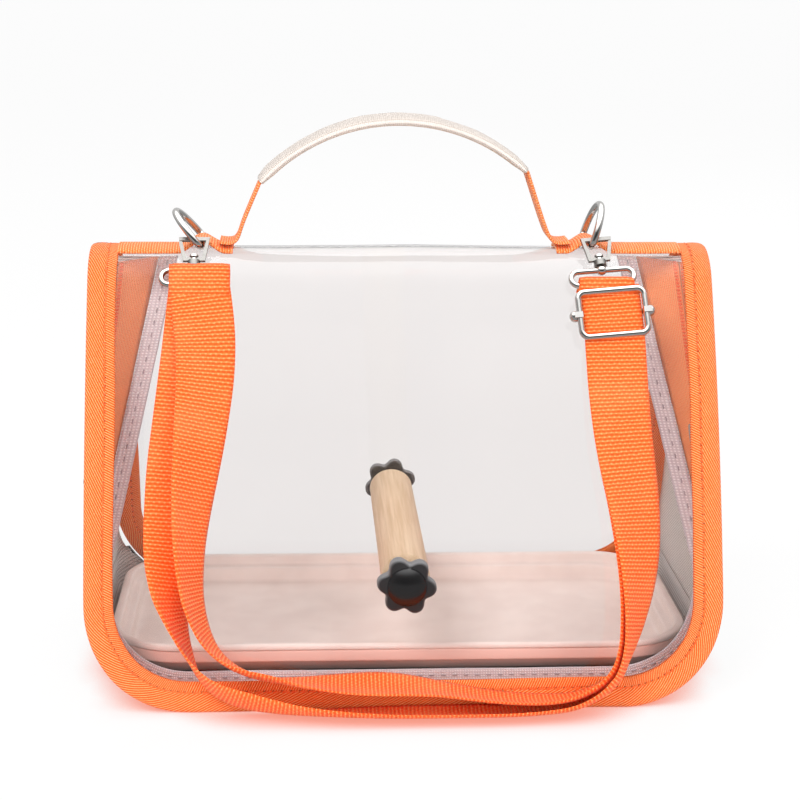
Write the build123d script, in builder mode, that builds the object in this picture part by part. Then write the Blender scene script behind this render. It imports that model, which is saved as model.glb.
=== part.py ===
"""Soft-sided bird travel carrier: clear arched cabin with an opening front, tray, perch,
top handle and a clip-on shoulder strap.

Frame: millimetres, X across the carrier, Y from the opening front (-Y) to the back (+Y),
Z up, origin on the floor under the middle of the base.
"""
import os
from math import atan2, cos, hypot, pi, radians, sin, sqrt, tan

from build123d import *

os.makedirs("parts", exist_ok=True)

# ---------------------------------------------------------------- driving dimensions
WIDTH = 262.0                 # across the two side bindings
BASE_DEPTH = 162.0            # front binding to back binding at the floor
HEIGHT = 179.0                # floor to the top of the ridge binding
RIDGE_RADIUS = 22.0           # bend of the sheet over the ridge
RIDGE_ANGLE = 62.0            # degrees each side of the top that the ridge bend covers
FRONT_CORNER_RADIUS = 42.0    # lower corners of the bound front and back
BASE_CORNER_RADIUS = 14.0     # lower corners of the base between them

SHEET = 1.0                   # clear sheet
BINDING_LEAF = 1.0            # each of the two leaves of binding tape
BINDING_WIDTH = 12.0
FABRIC = 1.0                  # mesh, base cloth and zipper tape
FIT_GAP = 0.3                 # between pieces of different bodies
SEW_GAP = 0.2                 # between a gusset edge and the binding it is sewn to

# gusset: coil and seam lines, set behind the front edge at the base and in Y at their top
FLAT_TO_Z = 42.0              # below this the lines stay at one Y
COIL_SETBACK, COIL_Y_TOP = 19.0, -7.0
SEAM_SETBACK, SEAM_Y_TOP = 28.0, 8.0
LINE_DROP = 11.0              # top of the lines below the ridge
FOLD_START_Z = 50.0           # above this the side panels fold inward
FOLD_TOP_INSET = 26.0         # how far the seam is pulled in at the top of the lines
COIL_INSET_SHARE = 0.42
GUSSET_DROP = 7.0             # top of the gusset below the ridge
MESH_LOW_Z = 20.0             # seam between the base cloth and the side mesh
COIL_GAP = 0.6                # half the space between the two coils
COIL_WIDTH, COIL_THICK = 1.5, 2.0
RIBBON_WIDTH, RIBBON_THICK = 8.0, 1.0
FOLD_STATIONS = 6             # sections each folded strip is lofted through
BASE_BLEND = 11.0             # length over which the base corners square up

# base board and tray
BOARD_THICK = 2.0
BOARD_SIDE_GAP = 15.0
BOARD_MARGIN = 3.0
TRAY_SIDE_GAP = 6.2
TRAY_RIBBON_GAP = 1.5
TRAY_BACK_GAP = 10.5
TRAY_RIM_Z = 17.0
TRAY_WALL = 2.0
TRAY_FLOOR = 2.0
TRAY_CORNER = 30.0
TRAY_LIP = 4.5                # height of the rim band
TRAY_FOOT = 3.5               # height of the foot step
TRAY_STEP = 2.0               # how far each step is set in

# perch
PERCH_Z = 51.0
PERCH_RADIUS = 10.0
KNOB_RADIUS = 12.2
KNOB_LOBES = 6
KNOB_LOBE_RADIUS = 3.4
KNOB_VALLEY_FILLET = 1.6
KNOB_TURN = {"front": -6.5, "back": 16.0}    # degrees, seen from the front
KNOB_FLOOR = 1.0              # dome side left over the end of the stud
KNOB_THICK = 5.0
KNOB_DOME_RADIUS = 8.2
KNOB_DOME_RISE = 3.0
STUD_RADIUS = 2.5
STUD_REACH = 6.0              # into the dowel, past the sheet
RELEASE_MOUTH_RADIUS = 6.5    # flared hole that lets the front stud swing out
RELEASE_FOOT_RADIUS = 3.6
RELEASE_DEPTH = 9.0
STUD_GAP = 0.05

# ridge webbing, rings and handle
WEB_HALF = 9.5
WEB_THICK = 1.5
WEB_UNDER_GAP = 0.1
WEB_RUN = 57.0                # from the side binding inward
WIRE = 1.5                    # ring wire radius
RING_HALF = 14.0              # ring bar end to end, halved, on the wire's centre line
RING_BEND = 3.0
PIN_GAP = 0.1
PIVOT_DROP = 0.2              # claw bar below the centre of the upright ring's bend
RING_SETBACK = {"left": 47.0, "right": 51.0}     # from each side
RING_LEAN = {"left": 40.0, "right": 18.0}
LOOP_RAMP = 10.0              # half length of the webbing's bulge over a ring's bar
LOOP_TOP_SHARE = 0.8          # half width of the bulge's flat top over its height
HANDLE_FOOT_GAP = (14.6, 15.1)                # left and right foot inward from the rings
HANDLE_SHOULDER_IN = (24.5, 27.0)             # shoulders inward from the rings
HANDLE_SHOULDER_RISE = (26.5, 31.5)           # shoulders above the ridge
HANDLE_CROWN_X = -3.0
HANDLE_CROWN_RISE = 52.5
HANDLE_WEB = 1.6
SLEEVE_HALF = 11.0
SLEEVE_WALL = 1.3

# snap hooks, on a plane that leans over the front
HOOK_SHIFT = {"left": 2.7, "right": 2.1}     # outward from the rings
HOOK_TILT = {"left": 0.0, "right": 5.0}      # degrees, turned in the hook's own plane
HOOK_LEAN = 40.0              # degrees from straight down towards the front
CLAW_BAR = 1.6
CLAW_TOP_HALF = 6.5
CLAW_LOW_HALF = 4.6
CLAW_LENGTH = 10.5
NECK_RADIUS, NECK_LENGTH = 2.6, 2.5
SWIVEL_RADIUS = 1.2
SWIVEL_GAP = 0.05
SWIVEL_HEAD_RADIUS, SWIVEL_HEAD = 1.9, 0.9
BALL_RADIUS = 2.2
EYE_WIRE = 1.2
EYE_HALF_X = 13.3             # on the wire's centre line
EYE_HEIGHT = 6.6
EYE_TOP = 15.0                # below the claw's top bar
CLAW_FLARE = 0.3
GATE_SLOT = 2.5               # inner side of the slot the gate closes
GATE_BAR = 1.5
GATE_THICK = 1.3

# shoulder strap, as layers outside the carrier's outer surface
STRAP_WIDTH = 25.0
STRAP_BACK = (0.8, 1.8)
STRAP_FRONT = (4.6, 5.6)
STRAP_FLOOR = 0.3
STRAP_DROP = 16.0             # strands end this far below the ridge, just under the folds
FOLD_WIDTH = 20.0             # the strap gathers where it goes round an eye
SLIDER_HALF_X, SLIDER_HALF_L = 13.9, 9.6     # on the wire's centre line
SLIDER_WIRE = 1.3
SLIDER_BEND = 3.0
SLIDER_SHIFT, SLIDER_DROP = 4.7, 23.4        # outward from the right hook, below the ridge
SLIDER_LAYER = 7.2
BAR_LAYER = 3.2
CLAMP_INNER_X, CLAMP_OUTER_X = 12.8, 16.3    # clamps that hold the bar on the frame's sides
CLAMP_HEIGHT = 2.4
CLAMP_WALL = 0.6

# zipper sliders
ZIP_REST_Z = 104.0
ZIP_LOW_Z = 64.0
PLATE_GAP, PLATE_THICK = 3.6, 1.0
PLATE_LENGTH, PLATE_WIDTH = 9.0, 7.0
PLATE_CORNER = 1.5
POST_LENGTH, POST_THICK = 2.0, 0.5
BAIL_HALF, BAIL_POST, BAIL_WIDTH = 3.2, 1.2, 2.0
BAIL_HEIGHT, BAIL_BAR = 3.2, 0.8
PULL_LENGTH, PULL_WIDTH, PULL_THICK = 22.0, 6.5, 1.4
PULL_CORNER = 2.0
PULL_LIFT = 0.5               # pull above the plate
PULL_END = 0.6                # half the bar that runs through the bail
PULL_HOLE = (4.0, 3.0)

# routes of the two strap strands across the front, (x, z) from the left hook to the right
ROUTE_TOP_Z = 163.0           # top of the routes as drawn
FRONT_DRAWN = [
    (-84.2, ROUTE_TOP_Z), (-80.9, 146.0), (-81.3, 122.0), (-84.0, 99.0), (-87.0, 77.0), (-88.2, 56.0),
    (-85.0, 37.0), (-75.0, 23.0), (-59.0, 15.5), (-36.0, 13.2), (-8.0, 13.6), (20.0, 12.9),
    (46.0, 13.3), (67.0, 16.5), (82.0, 25.0), (91.5, 39.0), (95.0, 57.0), (92.5, 79.0),
    (89.4, 102.0), (88.2, 126.0), (87.65, 146.0), (86.15, ROUTE_TOP_Z),
]
BACK_DRAWN = [
    (-84.5, ROUTE_TOP_Z), (-87.2, 147.0), (-90.6, 126.0), (-93.0, 102.0), (-94.6, 78.0), (-94.0, 57.0),
    (-89.5, 38.0), (-79.5, 23.5), (-64.0, 15.0), (-41.0, 12.9), (-14.0, 13.5), (13.0, 12.9),
    (40.0, 13.4), (62.0, 16.8), (78.5, 26.0), (88.5, 41.0), (92.0, 60.0), (90.8, 82.0),
    (88.8, 106.0), (88.0, 130.0), (87.1, 152.3),
]

# ---------------------------------------------------------------- derived values
HALF = WIDTH / 2
HALF_DEPTH = BASE_DEPTH / 2
COIL_Y_LOW = COIL_SETBACK - HALF_DEPTH
SEAM_Y_LOW = SEAM_SETBACK - HALF_DEPTH
LINE_TOP_Z = HEIGHT - LINE_DROP
GUSSET_TOP_Z = HEIGHT - GUSSET_DROP
BOARD_HALF_X = HALF - BOARD_SIDE_GAP
TRAY_HALF_X = HALF - TRAY_SIDE_GAP
TRAY_Y = (SEAM_Y_LOW + RIBBON_THICK + TRAY_RIBBON_GAP, HALF_DEPTH - TRAY_BACK_GAP)
RING_X = {"left": RING_SETBACK["left"] - HALF, "right": HALF - RING_SETBACK["right"]}
HOOK_X = {"left": RING_X["left"] - HOOK_SHIFT["left"], "right": RING_X["right"] + HOOK_SHIFT["right"]}
WEB_OUTER_X = HALF - BINDING_WIDTH
WEB_INNER_X = WEB_OUTER_X - WEB_RUN
HANDLE_FOOT_X = (RING_X["left"] + HANDLE_FOOT_GAP[0], RING_X["right"] - HANDLE_FOOT_GAP[1])
HANDLE_SHOULDER = ((RING_X["left"] + HANDLE_SHOULDER_IN[0], HEIGHT + HANDLE_SHOULDER_RISE[0]),
                   (RING_X["right"] - HANDLE_SHOULDER_IN[1], HEIGHT + HANDLE_SHOULDER_RISE[1]))
HANDLE_CROWN = (HANDLE_CROWN_X, HEIGHT + HANDLE_CROWN_RISE)
SLIDER_X, SLIDER_Z = HOOK_X["right"] + SLIDER_SHIFT, HEIGHT - SLIDER_DROP
STRAP_TOP_Z = HEIGHT - STRAP_DROP
FRONT_ROUTE = [(x, z * STRAP_TOP_Z / ROUTE_TOP_Z) for x, z in FRONT_DRAWN]
BACK_ROUTE = [(x, z * STRAP_TOP_Z / ROUTE_TOP_Z) for x, z in BACK_DRAWN]
RIDGE_Z = HEIGHT - RIDGE_RADIUS
SHEET_OUT = -BINDING_LEAF
SHEET_IN = SHEET_OUT - SHEET
SKIN = -(2 * BINDING_LEAF + SHEET)        # inner face of the bound edge
BEYOND = 60.0                             # how far cutting blocks reach past the carrier
BELOW = -20.0                             # how far they reach under the floor
ROOF = HEIGHT + BEYOND
FAR = HALF_DEPTH + BEYOND
FROM_BASE = (Align.CENTER, Align.CENTER, Align.MIN)

# the front arc is tangent to the ridge bend and ends at the floor's front edge
_lean = radians(RIDGE_ANGLE)
_to_floor = (-HALF_DEPTH, -RIDGE_Z)
_along = _to_floor[0] * sin(_lean) - _to_floor[1] * cos(_lean)
_reach = (hypot(*_to_floor) ** 2 - RIDGE_RADIUS ** 2) / (2 * (_along + RIDGE_RADIUS))
FRONT_RADIUS = _reach + RIDGE_RADIUS
FRONT_CENTRE = (_reach * sin(_lean), RIDGE_Z - _reach * cos(_lean))

BAR_Z = HEIGHT + SHEET_OUT + WIRE + PIN_GAP          # ring bar lies on the sheet
PIVOT_Y = -(RING_HALF - RING_BEND)                   # line that flap and strap swing about
PIVOT_Z = BAR_Z + RING_BEND - PIVOT_DROP
WEB_TOP_Z = HEIGHT + SHEET_OUT + WEB_THICK
HANDLE_PIVOT_Z = WEB_TOP_Z + FIT_GAP + WEB_HALF


def front_y(z, out=0.0):
    """Y of the front surface at height z, moved outward by out."""
    bend_z = RIDGE_Z + (RIDGE_RADIUS + out) * cos(_lean)
    if z > bend_z:
        return -sqrt(max((RIDGE_RADIUS + out) ** 2 - (z - RIDGE_Z) ** 2, 0.0))
    return FRONT_CENTRE[0] - sqrt((FRONT_RADIUS + out) ** 2 - (z - FRONT_CENTRE[1]) ** 2)


def line_y(low, top, z):
    """Y of a coil or seam line: level low down, then straight to the ridge."""
    if z <= FLAT_TO_Z:
        return low
    return low + (top - low) * (z - FLAT_TO_Z) / (LINE_TOP_Z - FLAT_TO_Z)


def coil_y(z):
    return line_y(COIL_Y_LOW, COIL_Y_TOP, z)


def seam_y(z):
    return line_y(SEAM_Y_LOW, SEAM_Y_TOP, z)


def fold_inset(z):
    """How far the side seam is pulled in from the side at height z."""
    return max(0.0, FOLD_TOP_INSET * (z - FOLD_START_Z) / (LINE_TOP_Z - FOLD_START_Z))


def arch_sketch(out, low=BELOW):
    """Region under the arched outer surface moved outward by out, in the Y-Z plane."""
    bend = RIDGE_RADIUS + out
    edge = (bend * sin(_lean), RIDGE_Z + bend * cos(_lean))
    middle_z = (edge[1] + low) / 2
    low_y, middle_y = front_y(low, out), front_y(middle_z, out)
    with BuildSketch(Plane.YZ) as region:
        with BuildLine():
            Line((low_y, low), (-low_y, low))
            ThreePointArc((-low_y, low), (-middle_y, middle_z), edge)
            ThreePointArc(edge, (0, RIDGE_Z + bend), (-edge[0], edge[1]))
            ThreePointArc((-edge[0], edge[1]), (middle_y, middle_z), (low_y, low))
        make_face()
    return region.sketch


def outline_sketch(plane, inset=0.0, radius=FRONT_CORNER_RADIUS):
    """Front outline in X and Z: upright sides, rounded lower corners, open above."""
    side, low, bend = HALF - inset, inset, radius - inset
    corner = bend * (1 - sin(pi / 4))
    with BuildSketch(plane) as region:
        with BuildLine():
            Polyline((side, low + bend), (side, ROOF), (-side, ROOF), (-side, low + bend))
            ThreePointArc((-side, low + bend), (-side + corner, low + corner), (-side + bend, low))
            Line((-side + bend, low), (side - bend, low))
            ThreePointArc((side - bend, low), (side - corner, low + corner), (side, low + bend))
        make_face()
    return region.sketch


def arch_block(out, half_x=HALF + BEYOND):
    with BuildPart() as block:
        extrude(arch_sketch(out), amount=half_x, both=True)
    return block.part


def outline_block(inset=0.0, radius=FRONT_CORNER_RADIUS):
    with BuildPart() as block:
        extrude(outline_sketch(Plane.XZ, inset, radius), amount=FAR, both=True)
    return block.part


def side_view_block(points, x_from=-HALF - BEYOND, x_to=HALF + BEYOND):
    """Block with the given outline in Y and Z, running along X."""
    with BuildPart() as block:
        with BuildSketch(Plane.YZ.offset(x_from)):
            with BuildLine():
                Polyline(*points, close=True)
            make_face()
        extrude(amount=x_to - x_from)
    return block.part


def save(piece, name):
    piece.label = name
    export_step(piece, f"parts/{name}.step")
    print(f"{name:24s} {piece.volume:12.1f} mm3  solids {len(piece.solids())}")


def band_points(y_from, y_to, z_low, z_top, steps=(FLAT_TO_Z,)):
    """Closed outline in Y and Z between two lines given as functions of height."""
    heights = [z_low] + [z for z in steps if z_low < z < z_top] + [z_top]
    return [(y_from(z), z) for z in heights] + [(y_to(z), z) for z in reversed(heights)]


FLAP_TOP_Y, BODY_TOP_Y = PIVOT_Y - SEW_GAP, PIVOT_Y + SEW_GAP
FLAP_ZONE = side_view_block([(-FAR, -FABRIC), (0, -FABRIC), (0, FOLD_START_Z),
                             (FLAP_TOP_Y, LINE_TOP_Z), (FLAP_TOP_Y, ROOF), (-FAR, ROOF)])
BODY_ZONE = side_view_block([(FAR, -FABRIC), (0, -FABRIC), (0, LINE_TOP_Z),
                             (BODY_TOP_Y, LINE_TOP_Z), (BODY_TOP_Y, ROOF), (FAR, ROOF)])

# ---------------------------------------------------------------- clear sheet
SHEET_SHELL = (arch_block(SHEET_OUT) - arch_block(SHEET_IN)) & outline_block(BINDING_LEAF)

with BuildPart() as front_sheet:
    add(SHEET_SHELL & FLAP_ZONE)
    with Locations(Plane(origin=(0, 0, PERCH_Z), z_dir=(0, -1, 0))):
        Cylinder(STUD_RADIUS + STUD_GAP, FAR, align=FROM_BASE, mode=Mode.SUBTRACT)
save(front_sheet.part, "front_sheet")

with BuildPart() as back_sheet:
    add(SHEET_SHELL & BODY_ZONE)
    with Locations(Plane(origin=(0, 0, PERCH_Z), z_dir=(0, 1, 0))):
        Cylinder(STUD_RADIUS + STUD_GAP, FAR, align=FROM_BASE, mode=Mode.SUBTRACT)
save(back_sheet.part, "back_sheet")

# ---------------------------------------------------------------- edge binding
BINDING_RING = (arch_block(0) - arch_block(SKIN)) & (outline_block(0) - outline_block(BINDING_WIDTH))
BINDING_RING = BINDING_RING - SHEET_SHELL

with BuildPart() as front_binding:
    add(BINDING_RING & FLAP_ZONE)
save(front_binding.part, "front_binding")

with BuildPart() as back_binding:
    add(BINDING_RING & BODY_ZONE)
save(back_binding.part, "back_binding")


# ---------------------------------------------------------------- gusset
def front_edge(z):
    return front_y(z, SKIN) + SEW_GAP


def back_edge(z):
    return -front_edge(z)


def flap_coil_edge(z):
    return coil_y(z) - COIL_GAP


def flap_tape_edge(z):
    return flap_coil_edge(z) - COIL_WIDTH


def body_coil_edge(z):
    return coil_y(z) + COIL_GAP


def body_tape_edge(z):
    return body_coil_edge(z) + COIL_WIDTH


def ribbon_edge(z):
    return seam_y(z) + RIBBON_THICK


def no_inset(z):
    return 0.0


def ribbon_inset(z):
    return fold_inset(z) + FABRIC


def share_inset(line):
    """Inset of a line that lies between the front edge and the coil or the seam."""
    def inset(z):
        y, front, coil, seam = line(z), front_edge(z), coil_y(z), seam_y(z)
        coil_inset = COIL_INSET_SHARE * fold_inset(z)
        if y <= coil:
            return coil_inset * (y - front) / (coil - front)
        return coil_inset + (fold_inset(z) - coil_inset) * (y - coil) / (seam - coil)
    return inset


def side_loft(side, y_from, y_to, inset_from, inset_to, thick=FABRIC):
    """Strip of a folded side panel between two lines, from the fold's start to its top."""
    with BuildPart() as strip:
        for i in range(FOLD_STATIONS):
            z = FOLD_START_Z + (GUSSET_TOP_Z - FOLD_START_Z) * i / (FOLD_STATIONS - 1)
            x_from, x_to = side * (HALF - inset_from(z)), side * (HALF - inset_to(z))
            inward = side * thick
            with BuildSketch(Plane.XY.offset(z)):
                with BuildLine():
                    Polyline((x_from, y_from(z)), (x_to, y_to(z)), (x_to - inward, y_to(z)),
                             (x_from - inward, y_from(z)), close=True)
                make_face()
        loft()
    return strip.part


def gusset_strip(y_from, y_to, thick=FABRIC):
    """U-shaped strip of the gusset between two lines, up both sides and under the base."""
    ring = (outline_block(0) - outline_block(thick)) & arch_block(SKIN)
    with BuildPart() as strip:
        add(ring & side_view_block(band_points(y_from, y_to, -FABRIC, FOLD_START_Z)))
        for side in (-1, 1):
            add(side_loft(side, y_from, y_to, share_inset(y_from), share_inset(y_to), thick))
    return strip.part


TAPE_RING = (outline_block(0) - outline_block(FABRIC)) & arch_block(SKIN)
with BuildPart() as zipper_tape_flap:
    add(TAPE_RING & side_view_block([(-FAR, -FABRIC), (-FAR, FOLD_START_Z),
                                     (flap_tape_edge(FOLD_START_Z), FOLD_START_Z),
                                     (flap_tape_edge(FLAT_TO_Z), FLAT_TO_Z),
                                     (flap_tape_edge(0), -FABRIC)]))
    for side in (-1, 1):
        add(side_loft(side, front_edge, flap_tape_edge, no_inset, share_inset(flap_tape_edge)))
save(zipper_tape_flap.part, "zipper_tape_flap")

with BuildPart() as zipper_coil_flap:
    add(gusset_strip(flap_tape_edge, flap_coil_edge, COIL_THICK))
save(zipper_coil_flap.part, "zipper_coil_flap")

with BuildPart() as zipper_coil_body:
    add(gusset_strip(body_coil_edge, body_tape_edge, COIL_THICK))
save(zipper_coil_body.part, "zipper_coil_body")

with BuildPart() as zipper_tape_body:
    add(gusset_strip(body_tape_edge, seam_y))
save(zipper_tape_body.part, "zipper_tape_body")

# seam ribbon: a fin that stands inward along the seam
with BuildPart() as seam_ribbon:
    ring = (outline_block(FABRIC) - outline_block(FABRIC + RIBBON_WIDTH)) & arch_block(SKIN)
    add(ring & side_view_block(band_points(seam_y, ribbon_edge, -FABRIC, FOLD_START_Z)))
    for side in (-1, 1):
        add(side_loft(side, seam_y, ribbon_edge, ribbon_inset, ribbon_inset, RIBBON_WIDTH))
save(seam_ribbon.part, "seam_ribbon")


# ---------------------------------------------------------------- base cloth and side mesh
def square_block(inset):
    """Base and side block whose lower corners square up behind the seam."""
    ends = [(SEAM_Y_LOW, FRONT_CORNER_RADIUS), (SEAM_Y_LOW + BASE_BLEND, BASE_CORNER_RADIUS),
            (-SEAM_Y_LOW, BASE_CORNER_RADIUS), (HALF_DEPTH, FRONT_CORNER_RADIUS)]
    with BuildPart() as block:
        loft([outline_sketch(Plane.XZ.offset(-y), inset, radius) for y, radius in ends], ruled=True)
    return block.part


SQUARE_SHELL = (square_block(0) - square_block(FABRIC)) & arch_block(SKIN)
BEHIND_SEAM = side_view_block([(seam_y(0), -FABRIC), (seam_y(FLAT_TO_Z), FLAT_TO_Z),
                               (seam_y(FOLD_START_Z), FOLD_START_Z), (FAR, FOLD_START_Z),
                               (FAR, -FABRIC)])

with BuildPart() as base_cloth:
    add(SQUARE_SHELL & BEHIND_SEAM)
    split(bisect_by=Plane.XY.offset(MESH_LOW_Z), keep=Keep.BOTTOM)
save(base_cloth.part, "base_cloth")

for side_name, side in (("left", -1), ("right", 1)):
    with BuildPart() as side_mesh:
        add(SQUARE_SHELL & BEHIND_SEAM)
        split(bisect_by=Plane.XY.offset(MESH_LOW_Z), keep=Keep.TOP)
        split(bisect_by=Plane.YZ, keep=Keep.TOP if side > 0 else Keep.BOTTOM)
        add(side_loft(side, seam_y, back_edge, fold_inset, no_inset))
    save(side_mesh.part, f"side_mesh_{side_name}")

# ---------------------------------------------------------------- base board and tray
BOARD_Y = (SEAM_Y_LOW + RIBBON_THICK + FIT_GAP, HALF_DEPTH + SKIN - BOARD_MARGIN)
BOARD_Z = FABRIC + SEW_GAP
with BuildPart() as base_board:
    with BuildSketch(Plane.XY):
        with Locations((0, sum(BOARD_Y) / 2)):
            RectangleRounded(2 * BOARD_HALF_X, BOARD_Y[1] - BOARD_Y[0], BASE_CORNER_RADIUS)
    extrude(amount=BOARD_Z + BOARD_THICK)
    add(square_block(BOARD_Z), mode=Mode.INTERSECT)
save(base_board.part, "base_board")

TRAY_BASE_Z = BOARD_Z + BOARD_THICK + FIT_GAP


def tray_outline(inset):
    with Locations((0, sum(TRAY_Y) / 2)):
        RectangleRounded(2 * (TRAY_HALF_X - inset), TRAY_Y[1] - TRAY_Y[0] - 2 * inset,
                         TRAY_CORNER - inset)


with BuildPart() as tray:
    with BuildSketch(Plane.XY.offset(TRAY_RIM_Z - TRAY_LIP)):
        tray_outline(0)
    extrude(amount=TRAY_LIP)
    with BuildSketch(Plane.XY.offset(TRAY_BASE_Z + TRAY_FOOT)):
        tray_outline(TRAY_STEP)
    extrude(amount=TRAY_RIM_Z - TRAY_LIP - TRAY_BASE_Z - TRAY_FOOT)
    with BuildSketch(Plane.XY.offset(TRAY_BASE_Z)):
        tray_outline(3 * TRAY_STEP)
    extrude(amount=TRAY_FOOT)
    with BuildSketch(Plane.XY.offset(TRAY_BASE_Z + TRAY_FLOOR)):
        tray_outline(3 * TRAY_STEP + TRAY_WALL)
    extrude(amount=TRAY_RIM_Z, mode=Mode.SUBTRACT)
    with BuildSketch(Plane.XY.offset(TRAY_RIM_Z - TRAY_LIP)):
        tray_outline(TRAY_STEP + TRAY_WALL)
    extrude(amount=TRAY_RIM_Z, mode=Mode.SUBTRACT)
save(tray.part, "tray")

# ---------------------------------------------------------------- perch, knobs and screws
PERCH_OUT = SHEET_IN - FIT_GAP
PERCH_HALF = -front_y(PERCH_Z, PERCH_OUT)
with BuildPart() as perch_dowel:
    with BuildSketch(Plane.XZ):
        with Locations((0, PERCH_Z)):
            Circle(PERCH_RADIUS)
    extrude(amount=HALF_DEPTH, both=True)
    add(arch_block(PERCH_OUT), mode=Mode.INTERSECT)
    with Locations(Plane(origin=(0, -PERCH_HALF, PERCH_Z), z_dir=(0, 1, 0))):
        Cone(RELEASE_MOUTH_RADIUS, RELEASE_FOOT_RADIUS, RELEASE_DEPTH, align=FROM_BASE,
             mode=Mode.SUBTRACT)
    with Locations(Plane(origin=(0, -PERCH_HALF, PERCH_Z), z_dir=(0, -1, 0))):
        Cylinder(RELEASE_MOUTH_RADIUS, PERCH_RADIUS, align=FROM_BASE, mode=Mode.SUBTRACT)
    with Locations(Plane(origin=(0, PERCH_HALF - RELEASE_DEPTH, PERCH_Z), z_dir=(0, 1, 0))):
        Cylinder(STUD_RADIUS + STUD_GAP, HALF_DEPTH, align=FROM_BASE, mode=Mode.SUBTRACT)
save(perch_dowel.part, "perch_dowel")

# each knob's back face stands clear of the sheet's sloping face
KNOB_BACK = -front_y(PERCH_Z - KNOB_RADIUS, SHEET_OUT) + FIT_GAP
DOME_SPHERE = (KNOB_DOME_RADIUS ** 2 + KNOB_DOME_RISE ** 2) / (2 * KNOB_DOME_RISE)

for end_name, end in (("front", -1), ("back", 1)):
    face = Plane(origin=(0, end * KNOB_BACK, PERCH_Z), x_dir=(-end, 0, 0), z_dir=(0, end, 0))
    turn = -end * KNOB_TURN[end_name]
    with BuildPart() as knob:
        with BuildSketch(face) as star:
            Circle(KNOB_RADIUS - KNOB_LOBE_RADIUS)
            with PolarLocations(KNOB_RADIUS - KNOB_LOBE_RADIUS, KNOB_LOBES, start_angle=turn):
                Circle(KNOB_LOBE_RADIUS)
            fillet(star.vertices(), radius=KNOB_VALLEY_FILLET)
        extrude(amount=KNOB_THICK)
        with BuildSketch(Plane.YZ):
            with BuildLine():
                Line((end * (KNOB_BACK + KNOB_THICK), PERCH_Z),
                     (end * (KNOB_BACK + KNOB_THICK), PERCH_Z + KNOB_DOME_RADIUS))
                RadiusArc((end * (KNOB_BACK + KNOB_THICK), PERCH_Z + KNOB_DOME_RADIUS),
                          (end * (KNOB_BACK + KNOB_THICK + KNOB_DOME_RISE), PERCH_Z),
                          end * DOME_SPHERE)
                Line((end * (KNOB_BACK + KNOB_THICK + KNOB_DOME_RISE), PERCH_Z),
                     (end * (KNOB_BACK + KNOB_THICK), PERCH_Z))
            make_face()
        revolve(axis=Axis((0, 0, PERCH_Z), (0, 1, 0)))
        with Locations(face):
            Cylinder(STUD_RADIUS, KNOB_THICK - KNOB_FLOOR, align=FROM_BASE, mode=Mode.SUBTRACT)
    save(knob.part, f"knob_{end_name}")

    with BuildPart() as screw:
        with Locations(Plane(origin=(0, end * (PERCH_HALF - STUD_REACH), PERCH_Z),
                             z_dir=(0, end, 0))):
            Cylinder(STUD_RADIUS, KNOB_BACK + KNOB_THICK - KNOB_FLOOR - PERCH_HALF + STUD_REACH,
                     align=FROM_BASE)
    save(screw.part, f"knob_screw_{end_name}")

# ---------------------------------------------------------------- ridge webbing and rings
BUMP = WIRE + PIN_GAP + WEB_THICK
for side_name, side in (("left", -1), ("right", 1)):
    ring_x = RING_X[side_name]
    run = abs(WEB_OUTER_X - WEB_INNER_X)
    middle = side * (WEB_OUTER_X + WEB_INNER_X) / 2
    with BuildPart() as ridge_webbing:
        with Locations((middle, 0, HEIGHT)):
            Box(run, 2 * WEB_HALF, 2 * RIDGE_RADIUS)
        add(arch_block(SHEET_OUT + WEB_THICK), mode=Mode.INTERSECT)
        with BuildSketch(Plane.XZ):
            with BuildLine():
                Polyline((ring_x - LOOP_RAMP, WEB_TOP_Z - WEB_THICK / 2),
                         (ring_x - BUMP * LOOP_TOP_SHARE, BAR_Z + BUMP),
                         (ring_x + BUMP * LOOP_TOP_SHARE, BAR_Z + BUMP),
                         (ring_x + LOOP_RAMP, WEB_TOP_Z - WEB_THICK / 2),
                         (ring_x + LOOP_RAMP, RIDGE_Z), (ring_x - LOOP_RAMP, RIDGE_Z), close=True)
            make_face()
        extrude(amount=WEB_HALF, both=True)
        add(arch_block(SHEET_OUT + WEB_UNDER_GAP), mode=Mode.SUBTRACT)
        with Locations(Plane(origin=(ring_x, 0, BAR_Z), z_dir=(0, 1, 0))):
            Cylinder(WIRE + PIN_GAP, 3 * WEB_HALF, mode=Mode.SUBTRACT)
    save(ridge_webbing.part, f"ridge_webbing_{side_name}")

    lean = radians(RING_LEAN[side_name])
    ring_plane = Plane(origin=(ring_x, 0, BAR_Z), x_dir=(0, 1, 0),
                       z_dir=(cos(lean), 0, -side * sin(lean)))
    bar_half = RING_HALF - RING_BEND
    corner = RING_BEND * sin(pi / 4)
    with BuildPart() as d_ring:
        with BuildLine(ring_plane) as ring_path:
            Line((-bar_half, 0), (bar_half, 0))
            ThreePointArc((bar_half, 0), (bar_half + corner, RING_BEND - corner),
                          (RING_HALF, RING_BEND))
            ThreePointArc((RING_HALF, RING_BEND), (0, RING_BEND + RING_HALF), (-RING_HALF, RING_BEND))
            ThreePointArc((-RING_HALF, RING_BEND), (-bar_half - corner, RING_BEND - corner),
                          (-bar_half, 0))
        with BuildSketch(Plane(origin=(ring_x, 0, BAR_Z), z_dir=(0, 1, 0))):
            Circle(WIRE)
        sweep(path=ring_path.line)
    save(d_ring.part, f"d_ring_{side_name}")

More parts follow.
